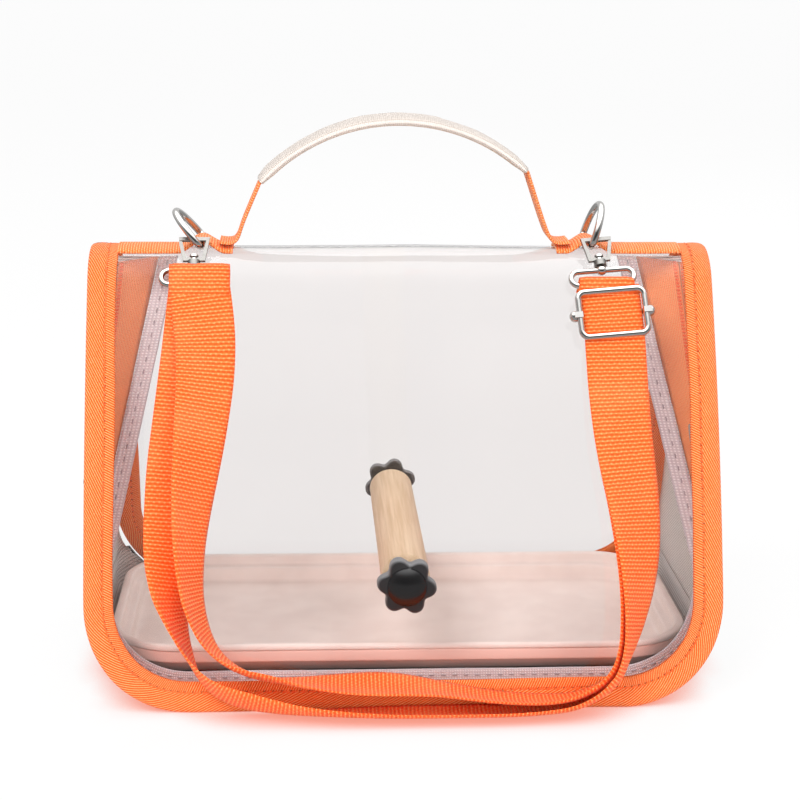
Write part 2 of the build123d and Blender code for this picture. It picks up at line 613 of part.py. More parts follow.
# ---------------------------------------------------------------- handle
HANDLE_FOOT_Z = HANDLE_PIVOT_Z - WEB_HALF
with BuildPart() as handle_webbing:
    with BuildSketch(Plane.XZ):
        with BuildLine():
            Line((HANDLE_FOOT_X[0], HANDLE_FOOT_Z), HANDLE_SHOULDER[0])
            ThreePointArc(HANDLE_SHOULDER[0], HANDLE_CROWN, HANDLE_SHOULDER[1])
            Line(HANDLE_SHOULDER[1], (HANDLE_FOOT_X[1], HANDLE_FOOT_Z))
        trace(line_width=HANDLE_WEB)
    extrude(amount=WEB_HALF, both=True)
    with BuildSketch(Plane.YZ):
        with Locations((0, HANDLE_PIVOT_Z)):
            Circle(WEB_HALF)
        with Locations((0, HANDLE_PIVOT_Z + HEIGHT / 2)):
            Rectangle(2 * WEB_HALF, HEIGHT)
    extrude(amount=HALF, both=True, mode=Mode.INTERSECT)
save(handle_webbing.part, "handle_webbing")

with BuildPart() as handle_sleeve:
    with BuildSketch(Plane.XZ):
        with BuildLine():
            ThreePointArc(HANDLE_SHOULDER[0], HANDLE_CROWN, HANDLE_SHOULDER[1])
        trace(line_width=HANDLE_WEB + 2 * SLEEVE_WALL)
    extrude(amount=SLEEVE_HALF, both=True)
    add(handle_webbing.part, mode=Mode.SUBTRACT)
save(handle_sleeve.part, "handle_sleeve")


# ---------------------------------------------------------------- snap hooks
def turned(plane, angle):
    """The plane turned about its own normal."""
    return Plane(plane.location * Location((0, 0, 0), (0, 0, angle)))


def hook_plane(side_name):
    """Plane of a hook: local x across, local -y down the hook, normal away from the carrier."""
    lean = radians(HOOK_LEAN)
    upright = Plane(origin=(HOOK_X[side_name], PIVOT_Y, PIVOT_Z), x_dir=(1, 0, 0),
                    z_dir=(0, -cos(lean), sin(lean)))
    return turned(upright, HOOK_TILT[side_name])


DOWN_HOOK = (90, 0, 0)        # turns a cylinder's axis to run down the hook's plane
CLAW_INNER_TOP = -CLAW_BAR / 2
CLAW_INNER_LOW = -CLAW_LENGTH + CLAW_BAR
GATE_FOOT = (CLAW_LOW_HALF - GATE_BAR / 2 + CLAW_FLARE, CLAW_INNER_LOW + CLAW_FLARE)
GATE_TIP = (CLAW_TOP_HALF - GATE_BAR / 2 - PIN_GAP, CLAW_INNER_TOP - SEW_GAP - GATE_BAR / 2)
HEAD_TOP = CLAW_INNER_LOW + PIN_GAP + SWIVEL_HEAD
EYE_RUN = EYE_HALF_X - EYE_HEIGHT / 2
EYE_LOW = -EYE_TOP - EYE_HEIGHT

for side_name, side in (("left", -1), ("right", 1)):
    plane = hook_plane(side_name)
    gate_foot = (side * GATE_FOOT[0], GATE_FOOT[1])
    gate_tip = (side * GATE_TIP[0], GATE_TIP[1])
    with BuildPart() as hook_claw:
        with BuildSketch(plane):
            with BuildLine():
                Polyline((-CLAW_TOP_HALF, CLAW_BAR / 2), (CLAW_TOP_HALF, CLAW_BAR / 2),
                         (CLAW_LOW_HALF, -CLAW_LENGTH), (-CLAW_LOW_HALF, -CLAW_LENGTH), close=True)
            make_face()
            with BuildLine():
                Polyline((-CLAW_TOP_HALF + CLAW_BAR, CLAW_INNER_TOP),
                         (CLAW_TOP_HALF - CLAW_BAR, CLAW_INNER_TOP),
                         (CLAW_LOW_HALF - CLAW_BAR + CLAW_FLARE, CLAW_INNER_LOW),
                         (-CLAW_LOW_HALF + CLAW_BAR - CLAW_FLARE, CLAW_INNER_LOW), close=True)
            make_face(mode=Mode.SUBTRACT)
            with BuildLine():
                Polyline((side * GATE_SLOT, CLAW_INNER_TOP), (side * 2 * CLAW_LOW_HALF, CLAW_INNER_TOP),
                         (side * 2 * CLAW_LOW_HALF, gate_foot[1]), (side * GATE_SLOT, gate_foot[1]),
                         close=True)
            make_face(mode=Mode.SUBTRACT)
            with Locations(gate_foot):
                Circle(GATE_BAR / 2 + SWIVEL_GAP, mode=Mode.SUBTRACT)
        extrude(amount=CLAW_BAR / 2, both=True)
        with Locations(plane * Location((0, -CLAW_LENGTH, 0), DOWN_HOOK)):
            Cylinder(NECK_RADIUS, NECK_LENGTH, align=FROM_BASE)
            Cylinder(SWIVEL_RADIUS + SWIVEL_GAP, 3 * NECK_LENGTH, mode=Mode.SUBTRACT)
    save(hook_claw.part, f"hook_claw_{side_name}")

    with BuildPart() as hook_gate:
        with BuildSketch(plane):
            with BuildLine():
                Line(gate_foot, gate_tip)
            trace(line_width=GATE_BAR)
            with Locations(gate_foot, gate_tip):
                Circle(GATE_BAR / 2)
        extrude(amount=GATE_THICK / 2, both=True)
    save(hook_gate.part, f"hook_gate_{side_name}")

    with BuildPart() as hook_eye:
        with BuildLine(plane) as eye_path:
            Line((-EYE_RUN, -EYE_TOP), (EYE_RUN, -EYE_TOP))
            ThreePointArc((EYE_RUN, -EYE_TOP), (EYE_HALF_X, -EYE_TOP - EYE_HEIGHT / 2),
                          (EYE_RUN, EYE_LOW))
            Line((EYE_RUN, EYE_LOW), (-EYE_RUN, EYE_LOW))
            ThreePointArc((-EYE_RUN, EYE_LOW), (-EYE_HALF_X, -EYE_TOP - EYE_HEIGHT / 2),
                          (-EYE_RUN, -EYE_TOP))
        with BuildSketch(Plane(origin=plane.from_local_coords((0, -EYE_TOP, 0)),
                               z_dir=plane.x_dir)):
            Circle(EYE_WIRE)
        sweep(path=eye_path.line)
        with Locations(plane * Location((0, -EYE_TOP, 0))):
            Sphere(BALL_RADIUS)
        with Locations(plane * Location((0, HEAD_TOP, 0), DOWN_HOOK)):
            Cylinder(SWIVEL_RADIUS, EYE_TOP + HEAD_TOP, align=FROM_BASE)
            Cylinder(SWIVEL_HEAD_RADIUS, SWIVEL_HEAD, align=FROM_BASE)
    save(hook_eye.part, f"hook_eye_{side_name}")


# ---------------------------------------------------------------- shoulder strap
def corner_radii(points):
    """Radius at each inner point of a route: 0.45 of the shorter run over tan(half the turn)."""
    radii = []
    for before, here, after in zip(points, points[1:], points[2:]):
        run_in = Vector(here[0] - before[0], here[1] - before[1])
        run_out = Vector(after[0] - here[0], after[1] - here[1])
        turn = radians(run_in.get_angle(run_out))
        radii.append(0.45 * min(run_in.length, run_out.length) / tan(turn / 2))
    return radii


def eye_bar_location(side_name):
    """Middle of an eye's lower bar, with Z along the bar."""
    return hook_plane(side_name) * Location((0, EYE_LOW, 0), (0, 90, 0))


FOLD_IN = EYE_WIRE + FIT_GAP
FOLD_OUT = FOLD_IN + FABRIC


def strap_band(points, layer):
    """Strap strand: a band along the route, lying in one layer outside the carrier."""
    with BuildPart() as band:
        with BuildSketch(Plane.XZ):
            with BuildLine():
                FilletPolyline(*points, radius=corner_radii(points))
            trace(line_width=STRAP_WIDTH)
            with Locations((0, STRAP_FLOOR)):
                Rectangle(2 * WIDTH, HEIGHT, align=(Align.CENTER, Align.MAX), mode=Mode.SUBTRACT)
        extrude(amount=FAR)
        add(arch_block(layer[1]), mode=Mode.INTERSECT)
        add(arch_block(layer[0]), mode=Mode.SUBTRACT)
        with Locations([eye_bar_location("left"), eye_bar_location("right")]):
            Cylinder(FOLD_OUT + PIN_GAP, 2 * STRAP_WIDTH, mode=Mode.SUBTRACT)
    return band.part


for name, route in (("front", FRONT_ROUTE), ("back", BACK_ROUTE)):
    print(name, "route radii", [round(r) for r in corner_radii(route)])

with BuildPart() as strap_strand_front:
    add(strap_band(FRONT_ROUTE, STRAP_FRONT))
save(strap_strand_front.part, "strap_strand_front")

with BuildPart() as strap_strand_back:
    add(strap_band(BACK_ROUTE, STRAP_BACK))
save(strap_strand_back.part, "strap_strand_back")

# the strap's turn round each eye's lower bar
for side_name in ("left", "right"):
    with BuildPart() as strap_fold:
        with Locations(eye_bar_location(side_name)):
            Cylinder(FOLD_OUT, FOLD_WIDTH)
            Cylinder(FOLD_IN, 2 * FOLD_WIDTH, mode=Mode.SUBTRACT)
    save(strap_fold.part, f"strap_fold_{side_name}")


def layer_plane(x, z, layer):
    """Plane that lies on the front surface moved outward by layer, local y up the surface."""
    y = front_y(z, layer)
    slope = atan2(z - FRONT_CENTRE[1], FRONT_CENTRE[0] - y)
    return Plane(origin=(x, y, z), x_dir=(1, 0, 0), z_dir=(0, -cos(slope), sin(slope)))


# strap slider: wire frame in front of the strap, its bar behind
frame_plane = turned(layer_plane(SLIDER_X, SLIDER_Z, SLIDER_LAYER), HOOK_TILT["right"])
with BuildPart() as strap_slider:
    with BuildLine(frame_plane) as frame_path:
        cut = SLIDER_BEND * (1 - sin(pi / 4))
        x, y = SLIDER_HALF_X, SLIDER_HALF_L
        Line((-x + SLIDER_BEND, -y), (x - SLIDER_BEND, -y))
        ThreePointArc((x - SLIDER_BEND, -y), (x - cut, -y + cut), (x, -y + SLIDER_BEND))
        Line((x, -y + SLIDER_BEND), (x, y - SLIDER_BEND))
        ThreePointArc((x, y - SLIDER_BEND), (x - cut, y - cut), (x - SLIDER_BEND, y))
        Line((x - SLIDER_BEND, y), (-x + SLIDER_BEND, y))
        ThreePointArc((-x + SLIDER_BEND, y), (-x + cut, y - cut), (-x, y - SLIDER_BEND))
        Line((-x, y - SLIDER_BEND), (-x, -y + SLIDER_BEND))
        ThreePointArc((-x, -y + SLIDER_BEND), (-x + cut, -y + cut), (-x + SLIDER_BEND, -y))
    with BuildSketch(Plane(origin=frame_plane.from_local_coords((0, -y, 0)),
                           z_dir=frame_plane.x_dir)):
        Circle(SLIDER_WIRE)
    sweep(path=frame_path.line)
save(strap_slider.part, "strap_slider")

BAR_DROP = SLIDER_LAYER - BAR_LAYER
CLAMP_LOW, CLAMP_HIGH = -BAR_DROP - SLIDER_WIRE, SLIDER_WIRE + CLAMP_WALL
with BuildPart() as slider_bar:
    with Locations(frame_plane * Location((0, 0, -BAR_DROP), (0, 90, 0))):
        Cylinder(SLIDER_WIRE, 2 * CLAMP_INNER_X)
    for side in (-1, 1):
        clamp_x = side * (CLAMP_INNER_X + CLAMP_OUTER_X) / 2
        with Locations(frame_plane * Location((clamp_x, 0, (CLAMP_LOW + CLAMP_HIGH) / 2))):
            Box(CLAMP_OUTER_X - CLAMP_INNER_X, CLAMP_HEIGHT, CLAMP_HIGH - CLAMP_LOW)
        with Locations(frame_plane * Location((side * SLIDER_HALF_X, 0, 0), DOWN_HOOK)):
            Cylinder(SLIDER_WIRE + PIN_GAP, 2 * CLAMP_HEIGHT, mode=Mode.SUBTRACT)
save(slider_bar.part, "slider_bar")


# ---------------------------------------------------------------- zipper sliders and pulls
def coil_point(z, side):
    return Vector(side * (HALF - COIL_INSET_SHARE * fold_inset(z)), coil_y(z), z)


def zip_plane(side):
    """Plane in the middle of the coil, local x up the coil, normal away from the carrier."""
    rest, low = coil_point(ZIP_REST_Z, side), coil_point(ZIP_LOW_Z, side)
    up = (rest - low).normalized()
    mean_z = (ZIP_REST_Z + ZIP_LOW_Z) / 2
    across = (Vector(side * (HALF - fold_inset(mean_z)), seam_y(mean_z), mean_z)
              - Vector(side * HALF, front_edge(mean_z), mean_z))
    out = across.cross(up).normalized()
    out = out if out.X * side > 0 else -out
    return Plane(origin=rest - Vector(side * COIL_THICK / 2, 0, 0), x_dir=up, z_dir=out)


PLATE_OUT = PLATE_GAP / 2 + PLATE_THICK
for side_name, side in (("left", -1), ("right", 1)):
    plane = zip_plane(side)
    with BuildPart() as zip_slider:
        for face in (-PLATE_OUT, PLATE_GAP / 2):
            with BuildSketch(plane.offset(face)):
                RectangleRounded(PLATE_LENGTH, PLATE_WIDTH, PLATE_CORNER)
            extrude(amount=PLATE_THICK)
        with Locations(plane * Location(((PLATE_LENGTH - POST_LENGTH) / 2, 0, 0))):
            Box(POST_LENGTH, POST_THICK, PLATE_GAP)
        for post_x in (-BAIL_HALF + BAIL_POST / 2, BAIL_HALF - BAIL_POST / 2):
            with Locations(plane * Location((post_x, 0, PLATE_OUT))):
                Box(BAIL_POST, BAIL_WIDTH, BAIL_HEIGHT, align=FROM_BASE)
        with Locations(plane * Location((0, 0, PLATE_OUT + BAIL_HEIGHT - BAIL_BAR))):
            Box(2 * BAIL_HALF, BAIL_WIDTH, BAIL_BAR, align=FROM_BASE)
    save(zip_slider.part, f"zip_slider_{side_name}")

    with BuildPart() as zip_pull:
        with BuildSketch(plane.offset(PLATE_OUT + PULL_LIFT)):
            with Locations((PULL_END - PULL_LENGTH / 2, 0)):
                RectangleRounded(PULL_LENGTH, PULL_WIDTH, PULL_CORNER)
            with Locations((-PULL_END - PULL_HOLE[0] / 2, 0)):
                Rectangle(*PULL_HOLE, mode=Mode.SUBTRACT)
        extrude(amount=PULL_THICK)
    save(zip_pull.part, f"zip_pull_{side_name}")
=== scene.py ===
"""Bird travel carrier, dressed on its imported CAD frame.

Metres, CAD axes: X across, -Y towards the opening front, Z up from the floor.
"""
import math

import bpy
from mathutils import Matrix, Vector, noise


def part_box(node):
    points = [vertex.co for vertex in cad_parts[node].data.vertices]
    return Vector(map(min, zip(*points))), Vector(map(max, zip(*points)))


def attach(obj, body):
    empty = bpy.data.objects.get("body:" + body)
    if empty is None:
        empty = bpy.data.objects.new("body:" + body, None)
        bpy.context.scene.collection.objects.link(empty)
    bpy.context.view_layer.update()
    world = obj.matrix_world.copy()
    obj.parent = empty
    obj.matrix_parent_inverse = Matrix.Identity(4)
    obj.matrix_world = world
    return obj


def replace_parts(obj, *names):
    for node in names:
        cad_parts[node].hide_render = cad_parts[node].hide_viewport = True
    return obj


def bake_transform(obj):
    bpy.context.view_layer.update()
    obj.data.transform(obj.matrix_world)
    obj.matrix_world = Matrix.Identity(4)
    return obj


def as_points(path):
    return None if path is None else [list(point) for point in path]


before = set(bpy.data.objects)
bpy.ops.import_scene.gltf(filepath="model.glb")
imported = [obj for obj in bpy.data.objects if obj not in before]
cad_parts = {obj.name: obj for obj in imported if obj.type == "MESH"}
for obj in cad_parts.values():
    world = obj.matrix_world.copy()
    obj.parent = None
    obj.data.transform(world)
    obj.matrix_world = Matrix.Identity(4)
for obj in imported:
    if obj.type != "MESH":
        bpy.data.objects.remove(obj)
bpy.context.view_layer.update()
MM = 0.001

# ---- sizes taken from the frame
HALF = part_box("front_binding")[1].x
HALF_DEPTH = -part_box("front_binding")[0].y
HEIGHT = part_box("back_binding")[1].z
SEAM_LOW_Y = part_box("seam_ribbon")[0].y
TRAY_LOW, TRAY_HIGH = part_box("tray")

# ---- sizes of the sewn shell
RIDGE_RADIUS = 22 * MM
LEAN = math.radians(62)
CORNER = 42 * MM
BASE_CORNER = 14 * MM
CORNER_BLEND = 11 * MM
LEAF, SHEET = 1 * MM, 1 * MM
SKIN = -(2 * LEAF + SHEET)
SEW_GAP = 0.2 * MM
BINDING_WIDTH = 12 * MM
STITCH_INSET = 8 * MM
STITCH_PITCH = 3.6 * MM
FLAT_TO_Z = 42 * MM
LINE_TOP_Z = HEIGHT - 11 * MM
GUSSET_TOP_Z = HEIGHT - 7 * MM
COIL_LOW_Y, COIL_TOP_Y = 19 * MM - HALF_DEPTH, -7 * MM
SEAM_TOP_Y = 8 * MM
FOLD_START_Z, FOLD_TOP_INSET, COIL_SHARE = 50 * MM, 26 * MM, 0.42
COIL_GAP, COIL_WIDTH, TOOTH_PITCH = 0.6 * MM, 1.5 * MM, 1.4 * MM
TAPE_SLIT = 0.12 * MM          # from each tape's edge to the middle of the coil
FABRIC = 1 * MM
RIBBON_WIDTH, RIBBON_THICK, RIBBON_STITCH = 8 * MM, 1 * MM, 4.8 * MM
MESH_LOW_Z = 20 * MM
PERCH_Z = 51 * MM

RIDGE_Z = HEIGHT - RIDGE_RADIUS
_along = -HALF_DEPTH * math.sin(LEAN) + RIDGE_Z * math.cos(LEAN)
_reach = (HALF_DEPTH ** 2 + RIDGE_Z ** 2 - RIDGE_RADIUS ** 2) / (2 * (_along + RIDGE_RADIUS))
FRONT_RADIUS = _reach + RIDGE_RADIUS
CENTRE_Y, CENTRE_Z = _reach * math.sin(LEAN), RIDGE_Z - _reach * math.cos(LEAN)
BEND_RUN = RIDGE_RADIUS * LEAN


# ---- the carrier's surface
def bend_at(run):
    """Angle from level, centre (y, z) and radius of the front surface at a run from the ridge."""
    if run <= BEND_RUN:
        return run / RIDGE_RADIUS, 0.0, RIDGE_Z, RIDGE_RADIUS
    return LEAN + (run - BEND_RUN) / FRONT_RADIUS, CENTRE_Y, CENTRE_Z, FRONT_RADIUS


def arch(run, out):
    """(y, z) of the arched surface at a run from the ridge, forward positive, moved outward."""
    angle, y, z, radius = bend_at(abs(run))
    y -= (radius + out) * math.sin(angle)
    return y if run >= 0 else -y, z + (radius + out) * math.cos(angle)


def run_at(z):
    """Run from the ridge at which the outer surface is at height z."""
    if z > RIDGE_Z + RIDGE_RADIUS * math.cos(LEAN):
        return RIDGE_RADIUS * math.acos(min(1, (z - RIDGE_Z) / RIDGE_RADIUS))
    return BEND_RUN + (math.acos((z - CENTRE_Z) / FRONT_RADIUS) - LEAN) * FRONT_RADIUS


def front_y(z, out=0.0):
    """Y of the front surface at height z, moved outward by out."""
    bend_z = RIDGE_Z + (RIDGE_RADIUS + out) * math.cos(LEAN)
    if z > bend_z:
        return -math.sqrt(max((RIDGE_RADIUS + out) ** 2 - (z - RIDGE_Z) ** 2, 0.0))
    return CENTRE_Y - math.sqrt((FRONT_RADIUS + out) ** 2 - (z - CENTRE_Z) ** 2)


def front_normal(z):
    """Outward normal of the front surface at height z."""
    angle = bend_at(run_at(max(z, 0)))[0]
    return Vector((0, -math.sin(angle), math.cos(angle)))


def lerp(a, b, t):
    return a + (b - a) * t


def smooth(t):
    t = min(1.0, max(0.0, t))
    return t * t * (3 - 2 * t)


def steps(count):
    return [i / count for i in range(count + 1)]


def wave(seed, x, y=0.0):
    """Smooth repeatable noise, about -1 to 1."""
    return noise.noise(Vector((x + seed * 7.31, y + seed * 3.17, seed * 1.73)))


# ---- mesh building
def add_object(name, data):
    obj = bpy.data.objects.new(name, data)
    bpy.context.scene.collection.objects.link(obj)
    return obj


def piece(name, verts, faces, look, rides=None, weave=None):
    """A mesh object with its material, body and woven coordinates."""
    mesh = bpy.data.meshes.new(name)
    mesh.from_pydata([tuple(v) for v in verts], [], faces)
    mesh.materials.append(look)
    mesh.polygons.foreach_set("use_smooth", [True] * len(mesh.polygons))
    if weave is not None:
        attribute = mesh.attributes.new("weave", "FLOAT_VECTOR", "POINT")
        attribute.data.foreach_set("vector", [c for w in weave for c in w])
    mesh.update()
    obj = add_object(name, mesh)
    if rides:
        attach(obj, rides)
    return obj


def skin(name, stations, around, spot, look, rides=None, loop=False):
    """Skin over closed sections: spot(station, place round it) gives a point and its woven
    coordinates. The ends are capped, or joined by loop."""
    cells = [spot(t, u) for t in stations for u in around]
    n, count = len(around), len(stations)
    faces = []
    for i in range(count if loop else count - 1):
        a, b = i * n, (i + 1) % count * n
        faces += [(a + j, a + (j + 1) % n, b + (j + 1) % n, b + j) for j in range(n)]
    if not loop:
        faces += [tuple(reversed(range(n))), tuple(range((count - 1) * n, count * n))]
    return piece(name, [place for place, _ in cells], faces, look, rides,
                 [woven for _, woven in cells])


def band(name, stations, across, spot, look, rides=None):
    """Two-faced strip, from spot(station, across, face)."""
    around = [(u, 1) for u in across] + [(u, -1) for u in reversed(across)]
    return skin(name, stations, around, lambda t, at: spot(t, *at), look, rides)


def ribbon(name, frames, thick, look, rides, columns=8, cup=None):
    """Flat band: frames are (centre, half-width vector, normal, run); cup bows it across."""
    def spot(i, t, face):
        centre, half, normal, run = frames[i]
        u = 2 * t - 1
        bow = cup[i] if cup else 0.0
        lip = thick / 2 * (1 - 0.75 * max(0.0, (abs(u) - 0.88) / 0.12) ** 2)
        return (centre + half * u + normal * (face * lip - bow * (1 - u * u)),
                (run, half.length * u, face))

    return band(name, range(len(frames)), steps(columns), spot, look, rides)


def capsules(name, places, length, radius, look, rides=None, squash=0.6):
    """Many small rounded bars in one piece: places are (centre, direction, normal)."""
    rings = ((-0.5, 0.35), (-0.36, 1.0), (0.36, 1.0), (0.5, 0.35))
    sides = 6
    verts, faces = [], []
    for centre, direction, normal in places:
        across = direction.cross(normal).normalized()
        base = len(verts)
        for at, share in rings:
            for k in range(sides):
                turn = math.tau * k / sides
                verts.append(centre + direction * (length * at)
                             + across * (radius * share * math.cos(turn))
                             + normal * (radius * share * squash * math.sin(turn)))
        faces += tube_faces(base, len(rings), sides)
    return piece(name, verts, faces, look, rides)


def tube_faces(base, rings, sides):
    """Faces of a capped tube whose rings of points start at base."""
    faces = []
    for r in range(rings - 1):
        a, b = base + r * sides, base + (r + 1) * sides
        faces += [(a + k, a + (k + 1) % sides, b + (k + 1) % sides, b + k) for k in range(sides)]
    last = base + (rings - 1) * sides
    return faces + [tuple(base + k for k in reversed(range(sides))),
                    tuple(last + k for k in range(sides))]


def spline_run(points, resolution=12):
    """Points along the NURBS line that has the given control points."""
    curve = bpy.data.curves.new("route", "CURVE")
    curve.dimensions = "3D"
    curve.resolution_u = resolution
    line = curve.splines.new("NURBS")
    line.points.add(len(points) - 1)
    for knot, place in zip(line.points, points):
        knot.co = (*place, 1.0)
    line.order_u = 3
    line.use_endpoint_u = True
    holder = add_object("route", curve)
    mesh = bpy.data.meshes.new_from_object(holder)
    run = [vertex.co.copy() for vertex in mesh.vertices]
    bpy.data.objects.remove(holder)
    bpy.data.meshes.remove(mesh)
    bpy.data.curves.remove(curve)
    return run


def runs(points):
    """Distance along a line at each of its points."""
    total, out = 0.0, [0.0]
    for a, b in zip(points, points[1:]):
        total += (b - a).length
        out.append(total)
    return out


def tangents(points):
    last = len(points) - 1
    return [(points[min(i + 1, last)] - points[max(i - 1, 0)]).normalized()
            for i in range(last + 1)]


# ---- materials
def rgb(red, green, blue):
    """Linear colour from display values 0 to 255."""
    values = [c / 255 for c in (red, green, blue)]
    return tuple(c / 12.92 if c <= 0.04045 else ((c + 0.055) / 1.055) ** 2.4 for c in values) + (1,)


class Nodes:
    """A node tree and short calls for the nodes in it."""

    def __init__(self, tree):
        self.tree = tree

    def node(self, kind, inputs=(), **fields):
        node = self.tree.nodes.new("ShaderNode" + kind)
        for key, value in fields.items():
            setattr(node, key, value)
        for index, value in enumerate(inputs):
            self.put(node.inputs[index], value)
        return node

    def put(self, socket, value):
        if isinstance(value, bpy.types.NodeSocket):
            self.tree.links.new(value, socket)
        elif value is not None:
            socket.default_value = value

    def math(self, operation, *values):
        return self.node("Math", values, operation=operation).outputs[0]

    def add(self, a, b):
        return self.math("ADD", a, b)

    def sub(self, a, b):
        return self.math("SUBTRACT", a, b)

    def mul(self, a, b):
        return self.math("MULTIPLY", a, b)

    def mad(self, a, b, c):
        return self.math("MULTIPLY_ADD", a, b, c)

    def near(self, value, target, low, high):
        """1 within low of the target, 0 beyond high of it, eased between."""
        off = self.math("ABSOLUTE", self.sub(value, target))
        return self.sub(1.0, self.fit(off, low, high))

    def most(self, *values):
        top = values[0]
        for value in values[1:]:
            top = self.math("MAXIMUM", top, value)
        return top

    def spread(self, value, low, high, to_low, to_high):
        return self.node("MapRange", (value, low, high, to_low, to_high)).outputs[0]

    def fit(self, value, low, high):
        """0 below low, 1 above high, eased between."""
        node = self.node("MapRange", (value, low, high, 0.0, 1.0), interpolation_type="SMOOTHSTEP")
        return node.outputs[0]

    def blend(self, share, low, high):
        """Mix of two numbers."""
        return self.node("Mix", (share, None, low, high), data_type="FLOAT").outputs[0]

    def mix(self, share, low, high):
        """Mix of two colours."""
        node = self.node("Mix", (share,), data_type="RGBA")
        self.put(node.inputs[6], low)
        self.put(node.inputs[7], high)
        return node.outputs[2]

    def ramp(self, value, low, high, below, above):
        """One colour below low, another above high, eased between."""
        return self.mix(self.fit(value, low, high), below, above)

    def rays(self, *kinds):
        """1 for the named kinds of ray."""
        found = self.node("LightPath").outputs
        return self.most(*(found[f"Is {kind} Ray"] for kind in kinds))


class Look(Nodes):
    """A Principled material, with patterns for woven and moulded surfaces."""

    def __init__(self, name, color, roughness, **settings):
        self.material = bpy.data.materials.new(name)
        self.material.use_nodes = True
        super().__init__(self.material.node_tree)
        self.shader = self.tree.nodes["Principled BSDF"]
        self.shader.inputs["Base Color"].default_value = color
        self.shader.inputs["Roughness"].default_value = roughness
        for key, value in settings.items():
            self.shader.inputs[key.replace("_", " ")].default_value = value

    def weave(self):
        """(along, across, face) of a ribbon's own coordinates."""
        source = self.node("Attribute", attribute_name="weave")
        return self.node("SeparateXYZ", (source.outputs["Vector"],)).outputs

    def place(self):
        """(x, y, z) in the shared frame."""
        source = self.node("TexCoord").outputs["Object"]
        return self.node("SeparateXYZ", (source,)).outputs

    def joined(self, *values):
        return self.node("CombineXYZ", values).outputs[0]

    def stripe(self, value, pitch):
        """0 to 1 and back once in each pitch."""
        turns = self.mad(value, math.tau / pitch, 0.0)
        return self.mad(self.math("SINE", turns), 0.5, 0.5)

    def noise(self, scale, detail=3.0, at=None, rough=0.55):
        at = at or self.node("TexCoord").outputs["Object"]
        node = self.node("TexNoise", (at,))
        node.inputs["Scale"].default_value = scale
        node.inputs["Detail"].default_value = detail
        node.inputs["Roughness"].default_value = rough
        return node.outputs["Fac"]

    def plain_weave(self, along, across, pitch, share, grain, detail, grain_share):
        """Height of crossing threads with a grain over them."""
        threads = self.mad(self.stripe(along, pitch), share, self.stripe(across, pitch))
        return self.mad(self.noise(grain, detail), grain_share, threads)

    def color(self, source):
        self.put(self.shader.inputs["Base Color"], source)

    def roughness(self, share, low, high):
        self.put(self.shader.inputs["Roughness"], self.spread(share, 0.0, 1.0, low, high))

    def bump(self, height, distance, strength=1.0):
        node = self.node("Bump")
        node.inputs["Strength"].default_value = strength
        node.inputs["Distance"].default_value = distance
        self.put(node.inputs["Height"], height)
        self.put(self.shader.inputs["Normal"], node.outputs[0])
        return self.material

    def surface(self, share, other):
        """Mix another shader over the Principled one."""
        both = self.node("MixShader", (share, self.shader.outputs[0], other.outputs[0]))
        self.put(self.tree.nodes["Material Output"].inputs["Surface"], both.outputs[0])
        return self.material


CLOTH_FINISH = {"Sheen_Weight": 0.08, "Specular_IOR_Level": 0.3}


def ribbed_webbing(name, lit, base, groove_shade, pitch):
    """Webbing: fine cross ribs, each a row of small beads set off from the next row's, with painted
    shade in the grooves and a painted highlight on the rib tops.
    """
    look = Look(name, base, 0.6, **CLOTH_FINISH)
    along, across, _ = look.weave()
    drift = look.mad(look.noise(500, 2), 0.7 * MM, along)
    slant = look.mul(across, 1.5)
    beads = look.mul(look.stripe(look.add(drift, slant), 2 * pitch),
                     look.stripe(look.sub(drift, slant), 2 * pitch))
    height = look.mad(beads, 0.4, look.stripe(drift, pitch))
    height = look.mad(look.noise(2600, 2), 0.5, height)
    # painted shade: the grooves between the ribs get a darker shade colour, the ribs the webbing's
    # own orange
    tone = look.ramp(height, 0.15, 0.85, groove_shade, base)
    # painted highlight: the highest rib tops turn towards the lit colour
    tone = look.mix(look.mul(look.fit(height, 0.95, 1.6), 0.8), tone, lit)
    wear = look.fit(look.noise(45, 3), 0.45, 0.75)
    look.color(look.mix(look.mul(wear, 0.1), tone, lit))
    return look.bump(height, 0.3 * MM)


def twill_binding():
    """Binding tape: diagonal twill outside the stitch line, finer ribs inside it, with painted
    shade in the grooves, a painted highlight on the rib tops and painted shade in the stitch holes.
    """
    look = Look("binding_tape", rgb(252, 112, 40), 0.6, **CLOTH_FINISH)
    along, inset, _ = look.weave()
    twill = look.stripe(look.mad(inset, -2.0, along), 2.0 * MM)
    fine = look.stripe(look.mad(inset, -0.5, along), 1.05 * MM)
    inner = look.fit(inset, STITCH_INSET - 0.2 * MM, STITCH_INSET + 0.3 * MM)
    height = look.mad(look.noise(2400, 2), 0.6, look.blend(inner, twill, fine))
    # painted shade in the twill grooves, the tape's own orange on the ribs
    tone = look.ramp(height, 0.2, 0.95, rgb(242, 84, 16), rgb(255, 124, 46))
    # painted highlight on the highest twill ribs
    tone = look.mix(look.mul(look.fit(height, 0.9, 1.4), 0.75), tone, rgb(255, 196, 140))
    seam = look.near(inset, STITCH_INSET, 0.25 * MM, 0.6 * MM)
    # painted shade: the stitch holes along the seam line are painted dark red
    hole_shade = look.mul(seam, look.fit(look.stripe(along, STITCH_PITCH), 0.72, 0.95))
    look.color(look.mix(look.mul(hole_shade, 0.7), tone, rgb(140, 34, 8)))
    return look.bump(look.sub(height, look.mul(seam, 0.8)), 0.3 * MM)


